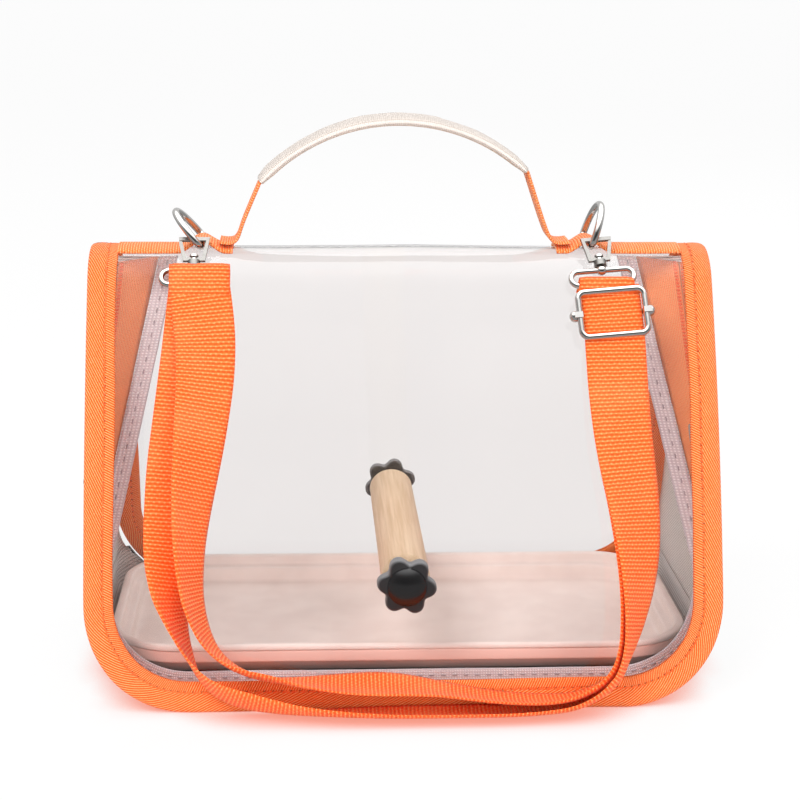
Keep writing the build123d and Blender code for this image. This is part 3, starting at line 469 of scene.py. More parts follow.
def woven_tape():
    """Zipper tape with two rows of dark dots beside the coil and a pale line between them."""
    look = Look("zipper_tape", rgb(252, 100, 24), 0.6, **CLOTH_FINISH)
    along, across, _ = look.weave()
    height = look.plain_weave(along, across, 0.7 * MM, 0.5, 2600, 2, 0.6)
    # painted shade between the threads and a painted highlight on the raised ones
    tone = look.ramp(height, 0.3, 1.5, rgb(255, 122, 52), rgb(255, 170, 112))
    dots = look.most(*(look.mul(look.near(across, row, 0.3 * MM, 0.65 * MM),
                                look.fit(look.stripe(along, TOOTH_PITCH), 0.45, 0.85))
                       for row in (2.8 * MM, 5.6 * MM)))
    pale = look.near(across, 4.2 * MM, 0.2 * MM, 0.7 * MM)
    tone = look.mix(look.mul(pale, 0.4), tone, rgb(255, 170, 120))
    look.color(look.mix(look.mul(dots, 0.65), tone, rgb(176, 44, 12)))
    return look.bump(look.sub(height, dots), 0.25 * MM)


def seam_tape():
    """Grey seam ribbon with woven dots and cross ribs; the raised dots get a painted white
    highlight, the hollows painted shade.
    """
    look = Look("seam_tape", rgb(200, 190, 193), 0.6, Sheen_Weight=0.2)
    along, across, _ = look.weave()
    dots = look.mul(look.stripe(along, 1.1 * MM), look.stripe(across, 1.6 * MM))
    height = look.mad(look.noise(2200, 2), 0.5, dots)
    # painted shade in the hollows and a painted white highlight on the raised dots
    look.color(look.ramp(height, 0.2, 1.0, rgb(214, 205, 211), rgb(250, 247, 249)))
    return look.bump(height, 0.3 * MM)


def ribbed_mesh():
    """Grey side mesh: fine ribs along the depth, painted lighter on their tops, with painted shade
    in the small openings between them.
    """
    look = Look("ribbed_mesh", rgb(196, 190, 186), 0.7, Sheen_Weight=0.15)
    along, across, _ = look.weave()
    rib = look.stripe(along, 1.3 * MM)
    # painted shade: the openings between the ribs are painted dark
    cell = look.mul(look.sub(1.0, rib), look.stripe(across, 1.5 * MM))
    height = look.mad(look.noise(1800, 2), 0.3, rib)
    # painted shade in the hollows and lighter painted tops on the ribs
    tone = look.ramp(height, 0.1, 0.9, rgb(192, 186, 182), rgb(244, 239, 235))
    look.color(look.ramp(cell, 0.55, 0.9, tone, rgb(136, 129, 128)))
    return look.bump(height, 0.4 * MM)


def plain_cloth():
    """Dark woven base cloth; inside, above the board, the grey mesh lining comes down over it."""
    look = Look("base_weave", rgb(84, 76, 78), 0.75, Sheen_Weight=0.2)
    along, across, face = look.weave()
    _, _, z = look.place()
    height = look.plain_weave(along, across, 0.9 * MM, 0.7, 1500, 3, 0.6)
    # painted shade between the threads, lighter painted tops on them
    tone = look.ramp(height, 0.3, 1.7, rgb(58, 52, 54), rgb(104, 94, 96))
    rib = look.mad(look.noise(1800, 2), 0.3, look.stripe(z, 1.3 * MM))
    # painted shade between the lining's ribs, lighter painted rib tops
    lining = look.ramp(rib, 0.1, 0.9, rgb(196, 190, 186), rgb(242, 237, 233))
    inside = look.mul(look.math("LESS_THAN", face, 0.0), look.fit(z, 6 * MM, 7.5 * MM))
    look.color(look.mix(inside, tone, lining))
    return look.bump(height, 0.3 * MM)


def clear_vinyl():
    """Clear flexible sheet with faint ripples; light passes straight through, the skin shines."""
    look = Look("clear_vinyl", (0.928, 0.912, 0.909, 1), 0.0, IOR=1.04, Transmission_Weight=1.0,
                Coat_Weight=1.0, Coat_Roughness=0.05, Coat_IOR=1.4)
    look.bump(look.noise(22, 0), 0.5 * MM, 0.3)
    look.put(look.shader.inputs["Coat Normal"],
             look.shader.inputs["Normal"].links[0].from_socket)
    pane = look.node("BsdfTransparent", ((0.97, 0.97, 0.97, 1),))
    return look.surface(look.rays("Shadow", "Diffuse"), pane)


def moulded(name, low, high, roughness, grain=900, **settings):
    """Moulded plastic, fibre or thread with faint mottling and a fine surface grain."""
    look = Look(name, high, roughness, **settings)
    look.color(look.mix(look.fit(look.noise(60, 3), 0.3, 0.7), low, high))
    look.roughness(look.noise(grain, 3), roughness * 0.8, min(1.0, roughness * 1.25))
    return look.bump(look.noise(grain, 2), 0.06 * MM, 0.5)


def tray_plastic():
    """Pale pink moulded tray, with the orange strap's reflected light painted as a salmon pink on
    its outer walls.
    """
    look = Look("tray_plastic", rgb(240, 224, 217), 0.4)
    _, height, outer = look.weave()
    tone = look.mix(look.fit(look.noise(60, 3), 0.3, 0.7), rgb(234, 217, 210), rgb(242, 227, 220))
    # painted reflection: the outer wall below the rim takes the orange strap's light as a pink tint
    wall = look.mul(outer, look.sub(1.0, look.fit(height, 14 * MM, 15 * MM)))
    look.color(look.mix(look.mul(wall, 0.75), tone, rgb(240, 190, 176)))
    look.roughness(look.noise(1200, 3), 0.32, 0.5)
    return look.bump(look.noise(1200, 2), 0.06 * MM, 0.5)


def pale_wood():
    """Dowel with fine grain along its length."""
    look = Look("dowel_wood", rgb(224, 193, 160), 0.6)
    x, y, z = look.place()
    fibre = look.noise(420, 4, look.joined(x, look.mul(y, 0.04), z), 0.65)
    rings = look.noise(90, 3, look.joined(x, look.mul(y, 0.06), z))
    tone = look.ramp(fibre, 0.35, 0.7, rgb(216, 184, 148), rgb(236, 208, 176))
    look.color(look.mix(look.mul(look.fit(rings, 0.5, 0.7), 0.2), tone, rgb(204, 162, 122)))
    return look.bump(fibre, 0.15 * MM, 0.6)


def star_plastic():
    """Black knob: glossy dome, matte textured lobes, a painted pale grey highlight on its side
    wall.
    """
    look = Look("knob_plastic", rgb(20, 19, 20), 0.35, Coat_Weight=0.15)
    radius, wall, _ = look.weave()
    lobe = look.fit(radius, 7.9 * MM, 8.5 * MM)
    look.roughness(lobe, 0.24, 0.5)
    tone = look.mix(lobe, rgb(20, 19, 20), rgb(34, 32, 33))
    # painted highlight: the side wall is painted pale grey
    look.color(look.mix(look.mul(wall, 0.55), tone, rgb(150, 150, 152)))
    return look.bump(look.mul(look.noise(1600, 3), lobe), 0.12 * MM, 0.7)


def sleeve_cloth():
    """Beige padded sleeve: fine plain weave, soft and slightly mottled, with painted tan shade
    underneath.
    """
    look = Look("sleeve_cloth", rgb(214, 204, 196), 0.75, Sheen_Weight=0.3, Sheen_Roughness=0.5)
    along, across, rise = look.weave()
    height = look.plain_weave(along, across, 0.8 * MM, 0.6, 1600, 3, 0.8)
    # painted shade between the threads, lighter painted tops on them
    tone = look.ramp(height, 0.3, 1.8, rgb(186, 172, 162), rgb(224, 215, 207))
    # painted shade: the underside turns tan
    under = look.sub(1.0, look.fit(rise, -0.9, -0.45))
    look.color(look.mix(look.mul(under, 0.7), tone, rgb(198, 158, 114)))
    return look.bump(height, 0.2 * MM)


def plated(name, tint, roughness):
    """Plated or cast metal with fine polishing streaks."""
    look = Look(name, tint, roughness, Metallic=1.0)
    look.roughness(look.noise(700, 3), roughness * 0.6, roughness * 1.6)
    return look.bump(look.noise(260, 2), 0.08 * MM, 0.3)


VINYL = clear_vinyl()
BINDING = twill_binding()
TAPE = woven_tape()
COIL = moulded("coil_nylon", rgb(240, 92, 26), rgb(255, 118, 48), 0.35)
SEAM_TAPE = seam_tape()
MESH = ribbed_mesh()
CLOTH = plain_cloth()
BOARD = moulded("board_fibre", rgb(40, 36, 34), rgb(58, 52, 50), 0.7, 500)
TRAY_PINK = tray_plastic()
WOOD = pale_wood()
KNOB = star_plastic()
# webbing colours: painted highlight, the webbing's own orange, painted shade for the grooves
WEBBING = ribbed_webbing("strap_webbing", rgb(255, 180, 120), rgb(255, 108, 34),
                         rgb(246, 74, 14), 1.6 * MM)
RIDGE_WEBBING = ribbed_webbing("ridge_webbing", rgb(255, 206, 160), rgb(255, 138, 66),
                               rgb(250, 104, 36), 1.1 * MM)
SLEEVE = sleeve_cloth()
STEEL = plated("screw_zinc", rgb(176, 172, 168), 0.3)
CHROME = plated("ring_plating", rgb(204, 202, 199), 0.12)
CAST = plated("cast_zinc", rgb(132, 130, 127), 0.33)
ZIP_METAL = plated("zip_plating", rgb(170, 166, 160), 0.28)
THREAD = moulded("binding_thread", rgb(248, 92, 26), rgb(255, 122, 50), 0.6, 1800,
                 Sheen_Weight=0.2)
GREY_THREAD = moulded("seam_thread", rgb(160, 150, 155), rgb(186, 176, 182), 0.6, 1800)


# ---- clear sheet
EDGE_TUCK = 4 * MM            # how deep the sheet's edge sits inside the binding
SHEET_ROWS, SHEET_COLUMNS = 150, 64
FREE_FROM = 30 * MM           # distance from the binding at which ripples are full
LOW_RUN = run_at(EDGE_TUCK)


def half_width(z, corner, tuck=0.0):
    """Half width at height z of an outline with rounded lower corners, set in by tuck there."""
    drop = max(0.0, corner - z)
    return HALF - corner + math.sqrt(max((corner - tuck) ** 2 - drop * drop, 0.0))


def build_sheet():
    def spot(t, u, face):
        run = lerp(LOW_RUN, -LOW_RUN, t)
        _, z = arch(run, 0)
        x = (2 * u - 1) * half_width(max(z, EDGE_TUCK), CORNER, EDGE_TUCK)
        free = smooth((HALF - abs(x)) / FREE_FROM) * smooth((z - EDGE_TUCK) / FREE_FROM)
        ripple = 0.55 * MM * wave(1, x * 16, run * 9) + 0.18 * MM * wave(2, x * 50, run * 30)
        out = free * ripple - LEAF - (SHEET if face < 0 else 0)
        return Vector((x, *arch(run, out))), (run, x, face)

    return band("clear_sheet", steps(SHEET_ROWS), steps(SHEET_COLUMNS), spot, VINYL)


sheet_piece = build_sheet()
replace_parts(sheet_piece, "front_sheet", "back_sheet")
BEND_FROM, BEND_TO = (0, -8.5 * MM, HEIGHT), (0, -20 * MM, HEIGHT)
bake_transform(sheet_piece)
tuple(BEND_FROM)
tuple(BEND_TO)

# ---- edge binding
SIDE_RUN = run_at(CORNER)
CORNER_RUN = CORNER * math.pi / 2
HALF_LOOP = 2 * (SIDE_RUN + CORNER_RUN + HALF - CORNER)
FLOOR_CLEAR = 0.15 * MM


def past_side(at, side_run):
    """Beyond a straight side: the angle turned round the corner and the run left after it."""
    turn = min(1.0, (at - side_run) / CORNER_RUN) * math.pi / 2
    return turn, max(0.0, at - side_run - CORNER_RUN)


def bound_edge(run, inset, out):
    """Point of the binding: run goes round the front from the left ridge, then round the back."""
    back = run >= HALF_LOOP
    at = run - HALF_LOOP if back else run
    flip = at > HALF_LOOP / 2
    at = HALF_LOOP - at if flip else at
    if at < SIDE_RUN:
        x = HALF - inset
        y, z = arch(at, out)
    else:
        turn, rest = past_side(at, SIDE_RUN)
        x = HALF - CORNER + (CORNER - inset) * math.cos(turn) - rest
        y, z = arch(run_at(CORNER - (CORNER - inset) * math.sin(turn)), out)
    left = flip == back
    return Vector((-x if left else x, -y if back else y, max(z, FLOOR_CLEAR)))


BINDING_PROFILE = [(inset * MM, out * MM) for inset, out in (
    (12.0, -0.95), (12.05, -0.45), (11.7, -0.08), (10.9, 0.05), (9.4, 0.12), (8.5, 0.06),
    (8.0, -0.14), (7.5, 0.08), (6.3, 0.24), (4.4, 0.3), (2.4, 0.16), (1.1, -0.2), (0.3, -0.8),
    (0.08, -1.5), (0.3, -2.2), (1.1, -2.75), (2.4, -2.98), (5.5, -3.04), (7.6, -3.0), (8.0, -2.86),
    (8.4, -3.0), (11.6, -2.96), (12.0, -2.6), (12.0, -2.06), (3.4, -2.05), (3.0, -1.5),
    (3.4, -0.95))]
BINDING_STATIONS = 760


def build_binding():
    bends = (SIDE_RUN + CORNER_RUN / 2, HALF_LOOP - SIDE_RUN - CORNER_RUN / 2)

    def spot(i, edge):
        inset, out = edge
        run = 2 * HALF_LOOP * i / BINDING_STATIONS
        corner = sum(math.exp(-((run % HALF_LOOP - at) / (45 * MM)) ** 2) for at in bends)
        pucker = (0.08 + 0.3 * corner) * MM * wave(3, run * 130, inset * 220)
        slack = (0.75 * MM * wave(4, run * 24) * (inset / BINDING_WIDTH)
                 + 0.2 * MM * corner * wave(15, run * 70))
        place = bound_edge(run, inset + slack, out + pucker if out > -LEAF else out)
        return place, (run, inset, 0)

    return skin("edge_binding", range(BINDING_STATIONS), BINDING_PROFILE, spot, BINDING,
                loop=True)


binding_piece = build_binding()
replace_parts(binding_piece, "front_binding", "back_binding")
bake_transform(binding_piece)
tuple(BEND_FROM)
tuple(BEND_TO)


def build_binding_stitches():
    places = []
    count = int(2 * HALF_LOOP / STITCH_PITCH)
    for i in range(count):
        run = 2 * HALF_LOOP * (i + 0.5) / count
        for out in (0.02 * MM, -2.98 * MM):
            here = bound_edge(run, STITCH_INSET, out)
            ahead = bound_edge((run + 1 * MM) % (2 * HALF_LOOP), STITCH_INSET, out)
            above = bound_edge(run, STITCH_INSET, out + 1 * MM)
            places.append((here, (ahead - here).normalized(), (above - here).normalized()))
    return capsules("binding_stitches", places, 2.7 * MM, 0.32 * MM, THREAD)


stitch_piece = build_binding_stitches()
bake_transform(stitch_piece)
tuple(BEND_FROM)
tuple(BEND_TO)


# ---- gusset lines
def line_y(low, top, z):
    if z <= FLAT_TO_Z:
        return low
    return low + (top - low) * (z - FLAT_TO_Z) / (LINE_TOP_Z - FLAT_TO_Z)


def coil_y(z):
    return line_y(COIL_LOW_Y, COIL_TOP_Y, z)


def seam_y(z):
    return line_y(SEAM_LOW_Y, SEAM_TOP_Y, z)


def front_edge(z):
    return front_y(z, SKIN) + SEW_GAP


def fold_inset(z):
    return max(0.0, FOLD_TOP_INSET * (z - FOLD_START_Z) / (LINE_TOP_Z - FOLD_START_Z))


def inset_at(y, z):
    """How far the folded side is pulled in at (y, z), ahead of the seam."""
    front, coil, seam = front_edge(z), coil_y(z), seam_y(z)
    coil_inset = COIL_SHARE * fold_inset(z)
    if y <= coil:
        return coil_inset * (y - front) / (coil - front)
    return coil_inset + (fold_inset(z) - coil_inset) * (y - coil) / (seam - coil)


GIRTH_SIDE = GUSSET_TOP_Z - CORNER
GIRTH = 2 * (GIRTH_SIDE + CORNER_RUN + HALF - CORNER)


def girth(run):
    """Station on the U down the left side, under the base and up the right: its centre,
    outward direction and outer height; a point at a depth is centre + (CORNER - depth) out."""
    flip = run > GIRTH / 2
    at = GIRTH - run if flip else run
    if at < GIRTH_SIDE:
        centre, out = (HALF - CORNER, GUSSET_TOP_Z - at), (1.0, 0.0)
    else:
        turn, rest = past_side(at, GIRTH_SIDE)
        centre, out = (HALF - CORNER - rest, CORNER), (math.cos(turn), -math.sin(turn))
    side = 1 if flip else -1
    centre = Vector((side * centre[0], 0, centre[1]))
    out = Vector((side * out[0], 0, out[1]))
    return centre, out, centre.z + CORNER * out.z


def girth_point(run, y_line, depth, shift=0.0):
    """Point on the U at a line of the gusset, at a depth inward."""
    centre, out, z = girth(run)
    y = y_line(z) + shift
    inset = inset_at(y, z) if z > FOLD_START_Z else 0.0
    place = centre + out * (CORNER - depth - inset)
    return Vector((place.x, y, max(place.z, 0.1 * MM)))


GIRTH_STATIONS = 230
TAPE_THICK, TAPE_SAG = 0.8 * MM, 0.5 * MM


def zipper_tape(name, y_from, side, rides):
    """One tape of the zip, all round the U; across is measured from its edge at the coil."""
    def y_to(z):
        return coil_y(z) + side * TAPE_SLIT

    def spot(t, u, face):
        run = t * GIRTH
        sag = TAPE_SAG * (0.5 + wave(5, run * 22, u * 2)) * math.sin(math.pi * u)
        depth = 0.1 * MM + (TAPE_THICK if face < 0 else 0) + max(0.0, sag)
        place = girth_point(run, lambda z: lerp(y_from(z), y_to(z), u), depth)
        z = girth(run)[2]
        return place, (run, (y_to(z) - y_from(z)) * (1 - u), face)

    return band(name, steps(GIRTH_STATIONS), steps(6), spot, TAPE, rides)


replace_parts(zipper_tape("flap_tape", front_edge, -1, "flap"), "zipper_tape_flap")
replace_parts(zipper_tape("body_tape", seam_y, 1, "cabin"), "zipper_tape_body")


def build_teeth(name, side, rides):
    """Coil teeth of one half: side -1 is the flap's, +1 the body's."""
    def on_coil(run, shift):
        return girth_point(run, coil_y, 0.9 * MM, side * shift)

    places = []
    count = int(GIRTH / TOOTH_PITCH)
    for i in range(count):
        run = GIRTH * (i + (0.25 if side < 0 else 0.75)) / count
        outer, inner = on_coil(run, COIL_GAP + COIL_WIDTH), on_coil(run, COIL_GAP * 0.4)
        direction = inner - outer
        normal = direction.cross(on_coil(min(run + 1 * MM, GIRTH), COIL_GAP) - inner)
        if normal.length < 1e-12:
            normal = direction.cross(inner - on_coil(run - 1 * MM, COIL_GAP))
        places.append(((outer + inner) / 2, direction.normalized(), normal.normalized()))
    return capsules(name, places, COIL_GAP + COIL_WIDTH - 0.2 * MM, 0.5 * MM, COIL,
                    rides, 1.3)


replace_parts(build_teeth("flap_teeth", -1, "flap"), "zipper_coil_flap")
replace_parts(build_teeth("body_teeth", 1, "cabin"), "zipper_coil_body")


# ---- seam ribbon
def ribbon_width(run):
    """The ribbon is pulled lower under the base than up the sides."""
    return lerp(5.2 * MM, RIBBON_WIDTH, smooth(girth(run)[2] / (36 * MM)))


def build_seam_ribbon():
    def spot(t, u, face):
        run = t * GIRTH
        sway = 0.9 * MM * u * u * wave(6, run * 26) + 0.25 * MM * u * wave(7, run * 90)
        place = girth_point(run, seam_y, FABRIC + u * ribbon_width(run))
        place.y += (0.1 * MM if face > 0 else RIBBON_THICK) + max(0.0, 0.4 * MM * u + sway)
        return place, (run, u * RIBBON_WIDTH, face)

    return band("seam_fin", steps(GIRTH_STATIONS), steps(6), spot, SEAM_TAPE,
                "cabin")


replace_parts(build_seam_ribbon(), "seam_ribbon")


def build_ribbon_stitches():
    places = []
    count = int(GIRTH / RIBBON_STITCH)
    for i in range(count):
        run = GIRTH * (i + 0.5) / count
        depth = FABRIC + ribbon_width(run) * 0.5
        here = girth_point(run, seam_y, depth)
        ahead = girth_point(min(run + 1 * MM, GIRTH), seam_y, depth)
        places.append((here + Vector((0, 0.05 * MM, 0)), (ahead - here).normalized(),
                       Vector((0, -1, 0))))
    return capsules("seam_stitches", places, 2.2 * MM, 0.3 * MM, GREY_THREAD,
                    "cabin")


build_ribbon_stitches()


# ---- base cloth and side mesh
def corner_at(y):
    """Lower corner radius of the base behind the seam, squared up away from both ends."""
    near = min(y - SEAM_LOW_Y, 10 * CORNER_BLEND)
    far = (HALF_DEPTH - y) / (HALF_DEPTH + SEAM_LOW_Y) * CORNER_BLEND
    t = min(1.0, max(0.0, min(near, far) / CORNER_BLEND))
    return lerp(CORNER, BASE_CORNER, t)


def side_x(y, z):
    """Half width of the body behind the seam at (y, z)."""
    half = half_width(z, corner_at(y))
    if z > FOLD_START_Z:
        seam, back = seam_y(z), -front_edge(z)
        half -= fold_inset(z) * (back - y) / (back - seam)
    return half


def build_side_mesh(name, side):
    def spot(t, u, face):
        z = lerp(MESH_LOW_Z, GUSSET_TOP_Z, t)
        y = lerp(seam_y(z), -front_edge(z), u)
        slack = math.sin(math.pi * u) * math.sin(math.pi * min(1, t * 1.1))
        sag = slack * (0.7 + 0.9 * wave(8, y * 22, z * 22)) * MM
        depth = (0.1 if face > 0 else 0.9) * MM + max(0.0, sag)
        return Vector((side * (side_x(y, z) - depth), y, z)), (z, y, face)

    return band(name, steps(70), steps(20), spot, MESH, "cabin")


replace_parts(build_side_mesh("mesh_panel_left", -1), "side_mesh_left")
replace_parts(build_side_mesh("mesh_panel_right", 1), "side_mesh_right")


def base_outline(y, share, depth):
    """(x, z) on the base cloth's left half: share 0 at the mesh seam, 1 under the middle."""
    radius = corner_at(y)
    start = math.asin((radius - MESH_LOW_Z) / radius) if radius > MESH_LOW_Z else 0.0
    upright = max(0.0, MESH_LOW_Z - radius)
    bend = radius * (math.pi / 2 - start)
    at = share * (upright + bend + HALF - radius)
    if at < upright:
        return HALF - depth, MESH_LOW_Z - at
    turn = min(1.0, (at - upright) / bend) * (math.pi / 2 - start) + start
    rest = max(0.0, at - upright - bend)
    return (HALF - radius - rest + (radius - depth) * math.cos(turn),
            radius - (radius - depth) * math.sin(turn))


def build_base_cloth():
    half = steps(26)
    shares = [(-1, s) for s in half] + [(1, s) for s in half[-2::-1]]

    def spot(t, at, face):
        side, share = at
        y = lerp(SEAM_LOW_Y, -front_y(0, SKIN) - SEW_GAP, t)
        x, z = base_outline(y, share, (0.1 if face > 0 else 0.95) * MM)
        limit = -front_y(max(z, 0), SKIN) - SEW_GAP
        return (Vector((side * x, min(y, limit), z)),
                (y, side * (HALF + MESH_LOW_Z) * (1 - share), face))

    return band("base_fabric", steps(44), shares, spot, CLOTH, "cabin")


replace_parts(build_base_cloth(), "base_cloth")

# ---- tray
TRAY_CORNER = 30 * MM
TRAY_PROFILE = [(inset * MM, z * MM) for inset, z in (
    (9.5, 3.5), (7.2, 3.5), (6.3, 3.6), (5.6, 4.0), (4.4, 5.2), (2.6, 7.2), (1.5, 8.5), (1.0, 9.1),
    (0.7, 9.3), (0.45, 9.6), (0.4, 10.2), (0.4, 13.6), (0.5, 14.0), (0.75, 14.2), (0.5, 14.4),
    (0.1, 14.6), (0.0, 15.0), (0.0, 15.9), (0.2, 16.6), (0.8, 16.95), (1.8, 17.0), (3.0, 16.9),
    (3.8, 16.5), (4.1, 15.8), (4.2, 13.4), (4.6, 12.8), (5.4, 12.5), (7.2, 12.35), (7.9, 12.0),
    (8.2, 11.3), (8.4, 6.9), (9.0, 5.9), (10.4, 5.5), (14.0, 5.5))]
TRAY_OUTER = 21               # how many of the profile's points are on the outside
CORNER_STEPS, EDGE_STEPS = 14, 12


def rounded_loop(inset):
    """(x, y) round the tray's outline, set inward."""
    radius = TRAY_CORNER - inset
    right = TRAY_HIGH.x - TRAY_CORNER
    low, high = TRAY_LOW.y + TRAY_CORNER, TRAY_HIGH.y - TRAY_CORNER
    points = []
    for quarter, (cx, cy) in enumerate(((right, high), (-right, high), (-right, low),
                                        (right, low))):
        for s in steps(CORNER_STEPS):
            turn = (quarter + s) * math.pi / 2
            points.append((cx + radius * math.cos(turn), cy + radius * math.sin(turn)))
    out = []
    for a, b in zip(points, points[1:] + points[:1]):
        out.append(a)
        if math.hypot(b[0] - a[0], b[1] - a[1]) > 20 * MM:
            out += [(lerp(a[0], b[0], s), lerp(a[1], b[1], s)) for s in steps(EDGE_STEPS)[1:-1]]
    return out


def build_tray():
    loops = [rounded_loop(inset) for inset, _ in TRAY_PROFILE]

    def spot(level, k):
        inset, z = TRAY_PROFILE[level]
        x, y = loops[level][k]
        bow = 0.25 * MM * wave(9, x * 12, y * 12) if z > 12 * MM else 0
        # the last value marks the outer wall, which gets the painted pink reflection
        return Vector((x, y, z + bow)), (inset, z, float(level < TRAY_OUTER))

    return skin("tray_shell", range(len(loops)), range(len(loops[0])), spot, TRAY_PINK,
                "tray")


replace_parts(build_tray(), "tray")

# ---- perch knobs
KNOB_RADIUS, KNOB_LOBES, LOBE_DEPTH = 12.2 * MM, 6, 2.7 * MM
KNOB_BACK, KNOB_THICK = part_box("knob_back")[0].y, 5 * MM
DOME_RADIUS, DOME_RISE = 8.2 * MM, 3.0 * MM
KNOB_TURN = {"front": -6.5, "back": 16.0}
KNOB_SIDES = 180
# rings of the knob's body: offset from the star, distance from its back face, how far it is wall
# (which carries the painted highlight)
KNOB_RINGS = [(-1.2, 0.2, 0), (-0.4, 0.0, 0.5), (0.0, 0.4, 1), (0.0, 1.6, 1), (0.0, 3.4, 1),
              (-0.15, 4.1, 0.9), (-0.5, 4.6, 0.3), (-1.1, 4.9, 0), (-1.5, 5.0, 0)]


def star_radius(turn):
    """Outline of the knob: six round lobes with wide eased valleys."""
    beat = math.cos(KNOB_LOBES * turn)
    return KNOB_RADIUS - LOBE_DEPTH * (1 - beat) / 2 + 0.12 * LOBE_DEPTH * (1 - beat * beat)


def dome_rise(radius):
    """Height of the knob's domed cap over its face."""
    sphere = (DOME_RADIUS ** 2 + DOME_RISE ** 2) / (2 * DOME_RISE)
    return math.sqrt(sphere ** 2 - radius ** 2) - sphere + DOME_RISE


def build_knob(end_name, end):
    turn0 = math.radians(KNOB_TURN[end_name])
    domes = [DOME_RADIUS * share for share in (1.0, 0.93, 0.85, 0.75, 0.6, 0.45, 0.3, 0.15, 0.02)]
    rings = ([(3 * MM, 0, 0.3 * MM, 0)]
             + [(offset * MM, 1, depth * MM, wall) for offset, depth, wall in KNOB_RINGS]
             + [(radius, 0, KNOB_THICK + dome_rise(radius), 0) for radius in domes])

    def spot(ring, k):
        radius, star, depth, wall = ring
        turn = math.tau * k / KNOB_SIDES
        radius += star * star_radius(turn)
        x, z = radius * math.cos(turn + turn0), radius * math.sin(turn + turn0)
        return Vector((x, end * (KNOB_BACK + depth), PERCH_Z + z)), (radius, wall, 0)

    node = f"knob_{end_name}"
    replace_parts(skin(f"star_{node}", rings, range(KNOB_SIDES), spot, KNOB, node),
                node)


build_knob("front", -1)
build_knob("back", 1)

# ---- ridge webbing
WEB_HALF, WEB_THICK = 9.5 * MM, 1.5 * MM
RING_BAR_Z = HEIGHT - LEAF + 1.6 * MM
BUMP_TOP = RING_BAR_Z + 3.1 * MM
RING_X = {"left": -84 * MM, "right": 80 * MM}
WEB_INNER_X = {"left": -71 * MM, "right": 66 * MM}    # where the webbing turns up into the handle


def build_ridge_webbing(side_name):
    low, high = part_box(f"ridge_webbing_{side_name}")
    inner = WEB_INNER_X[side_name]
    ends = (low.x, inner) if side_name == "left" else (inner, high.x)

    def spot(t, u, face):
        x = lerp(*ends, t)
        v = 2 * u - 1
        lip = 0.35 * MM * max(0.0, (abs(v) - 0.85) / 0.15) ** 2
        out, bump_z = WEB_THICK - lip, BUMP_TOP
        if face < 0:
            out, bump_z = 0.15 * MM, BUMP_TOP + 0.15 * MM - WEB_THICK
        y, z = arch(-v * WEB_HALF * 1.02, out - LEAF)
        over_ring = smooth(1 - abs(x - RING_X[side_name]) / (10 * MM))
        z = lerp(z, bump_z - 0.4 * MM * v * v, over_ring) + 0.12 * MM * wave(10, x * 90, v * 2)
        return Vector((x, y, z)), (x, v * WEB_HALF, face)

    web = band(f"ridge_strap_{side_name}", steps(110), steps(14), spot, RIDGE_WEBBING,
               "cabin")
    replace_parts(web, f"ridge_webbing_{side_name}")


build_ridge_webbing("left")
build_ridge_webbing("right")

# ---- handle
HANDLE_LEFT = [(x * MM, 0, z * MM) for x, z in (
    (-76.5, 180.7), (-72.5, 179.9), (-69.0, 181.4), (-67.0, 188.0), (-63.2, 197.0), (-59.5, 205.5))]
HANDLE_RIGHT = [(x * MM, 0, z * MM) for x, z in (
    (71.5, 180.7), (67.0, 179.9), (63.2, 182.0), (60.0, 190.0), (56.6, 200.0), (53.0, 210.5))]
SHOULDERS = (Vector((-59.5 * MM, 0, 205.5 * MM)), Vector((53.0 * MM, 0, 210.5 * MM)))
CROWN = Vector((-3.0 * MM, 0, 231.5 * MM))
SLEEVE_HALF, SLEEVE_THICK = 11.0 * MM, 4.2 * MM
SLEEVE_SIDES = 28
LAP_X = 17 * MM                # where the sleeve's cloth overlaps itself


def circle_through(a, b, c):
    """Centre (x, z) and radius of the circle through three points in the X-Z plane."""
    ax, az, bx, bz, cx, cz = a.x, a.z, b.x, b.z, c.x, c.z
    d = 2 * (ax * (bz - cz) + bx * (cz - az) + cx * (az - bz))
    sa, sb, sc = ax * ax + az * az, bx * bx + bz * bz, cx * cx + cz * cz
    x = (sa * (bz - cz) + sb * (cz - az) + sc * (az - bz)) / d
    z = (sa * (cx - bx) + sb * (ax - cx) + sc * (bx - ax)) / d
    return Vector((x, 0, z)), math.hypot(ax - x, az - z)


ARC_CENTRE, ARC_RADIUS = circle_through(SHOULDERS[0], CROWN, SHOULDERS[1])


def arc_points(count, over=0.0):
    """Points along the handle's top arc from the left shoulder to the right."""
    a = math.atan2(SHOULDERS[0].z - ARC_CENTRE.z, SHOULDERS[0].x - ARC_CENTRE.x)
    b = math.atan2(SHOULDERS[1].z - ARC_CENTRE.z, SHOULDERS[1].x - ARC_CENTRE.x)
    a, b = a + over, b - over
    return [ARC_CENTRE + Vector((math.cos(lerp(a, b, t)), 0, math.sin(lerp(a, b, t)))) * ARC_RADIUS
            for t in steps(count)]


def in_plane(points):
    """(place, normal, run) along a line in the X-Z plane."""
    return [(place, Vector((-ahead.z, 0, ahead.x)), run)
            for place, ahead, run in zip(points, tangents(points), runs(points))]


def build_handle_webbing():
    line = spline_run(HANDLE_LEFT) + arc_points(60)[1:-1] + spline_run(HANDLE_RIGHT)[::-1]
    half = Vector((0, WEB_HALF, 0))
    frames = [(place, half, normal, run) for place, normal, run in in_plane(line)]
    return ribbon("handle_strap", frames, WEB_THICK, RIDGE_WEBBING, "handle")


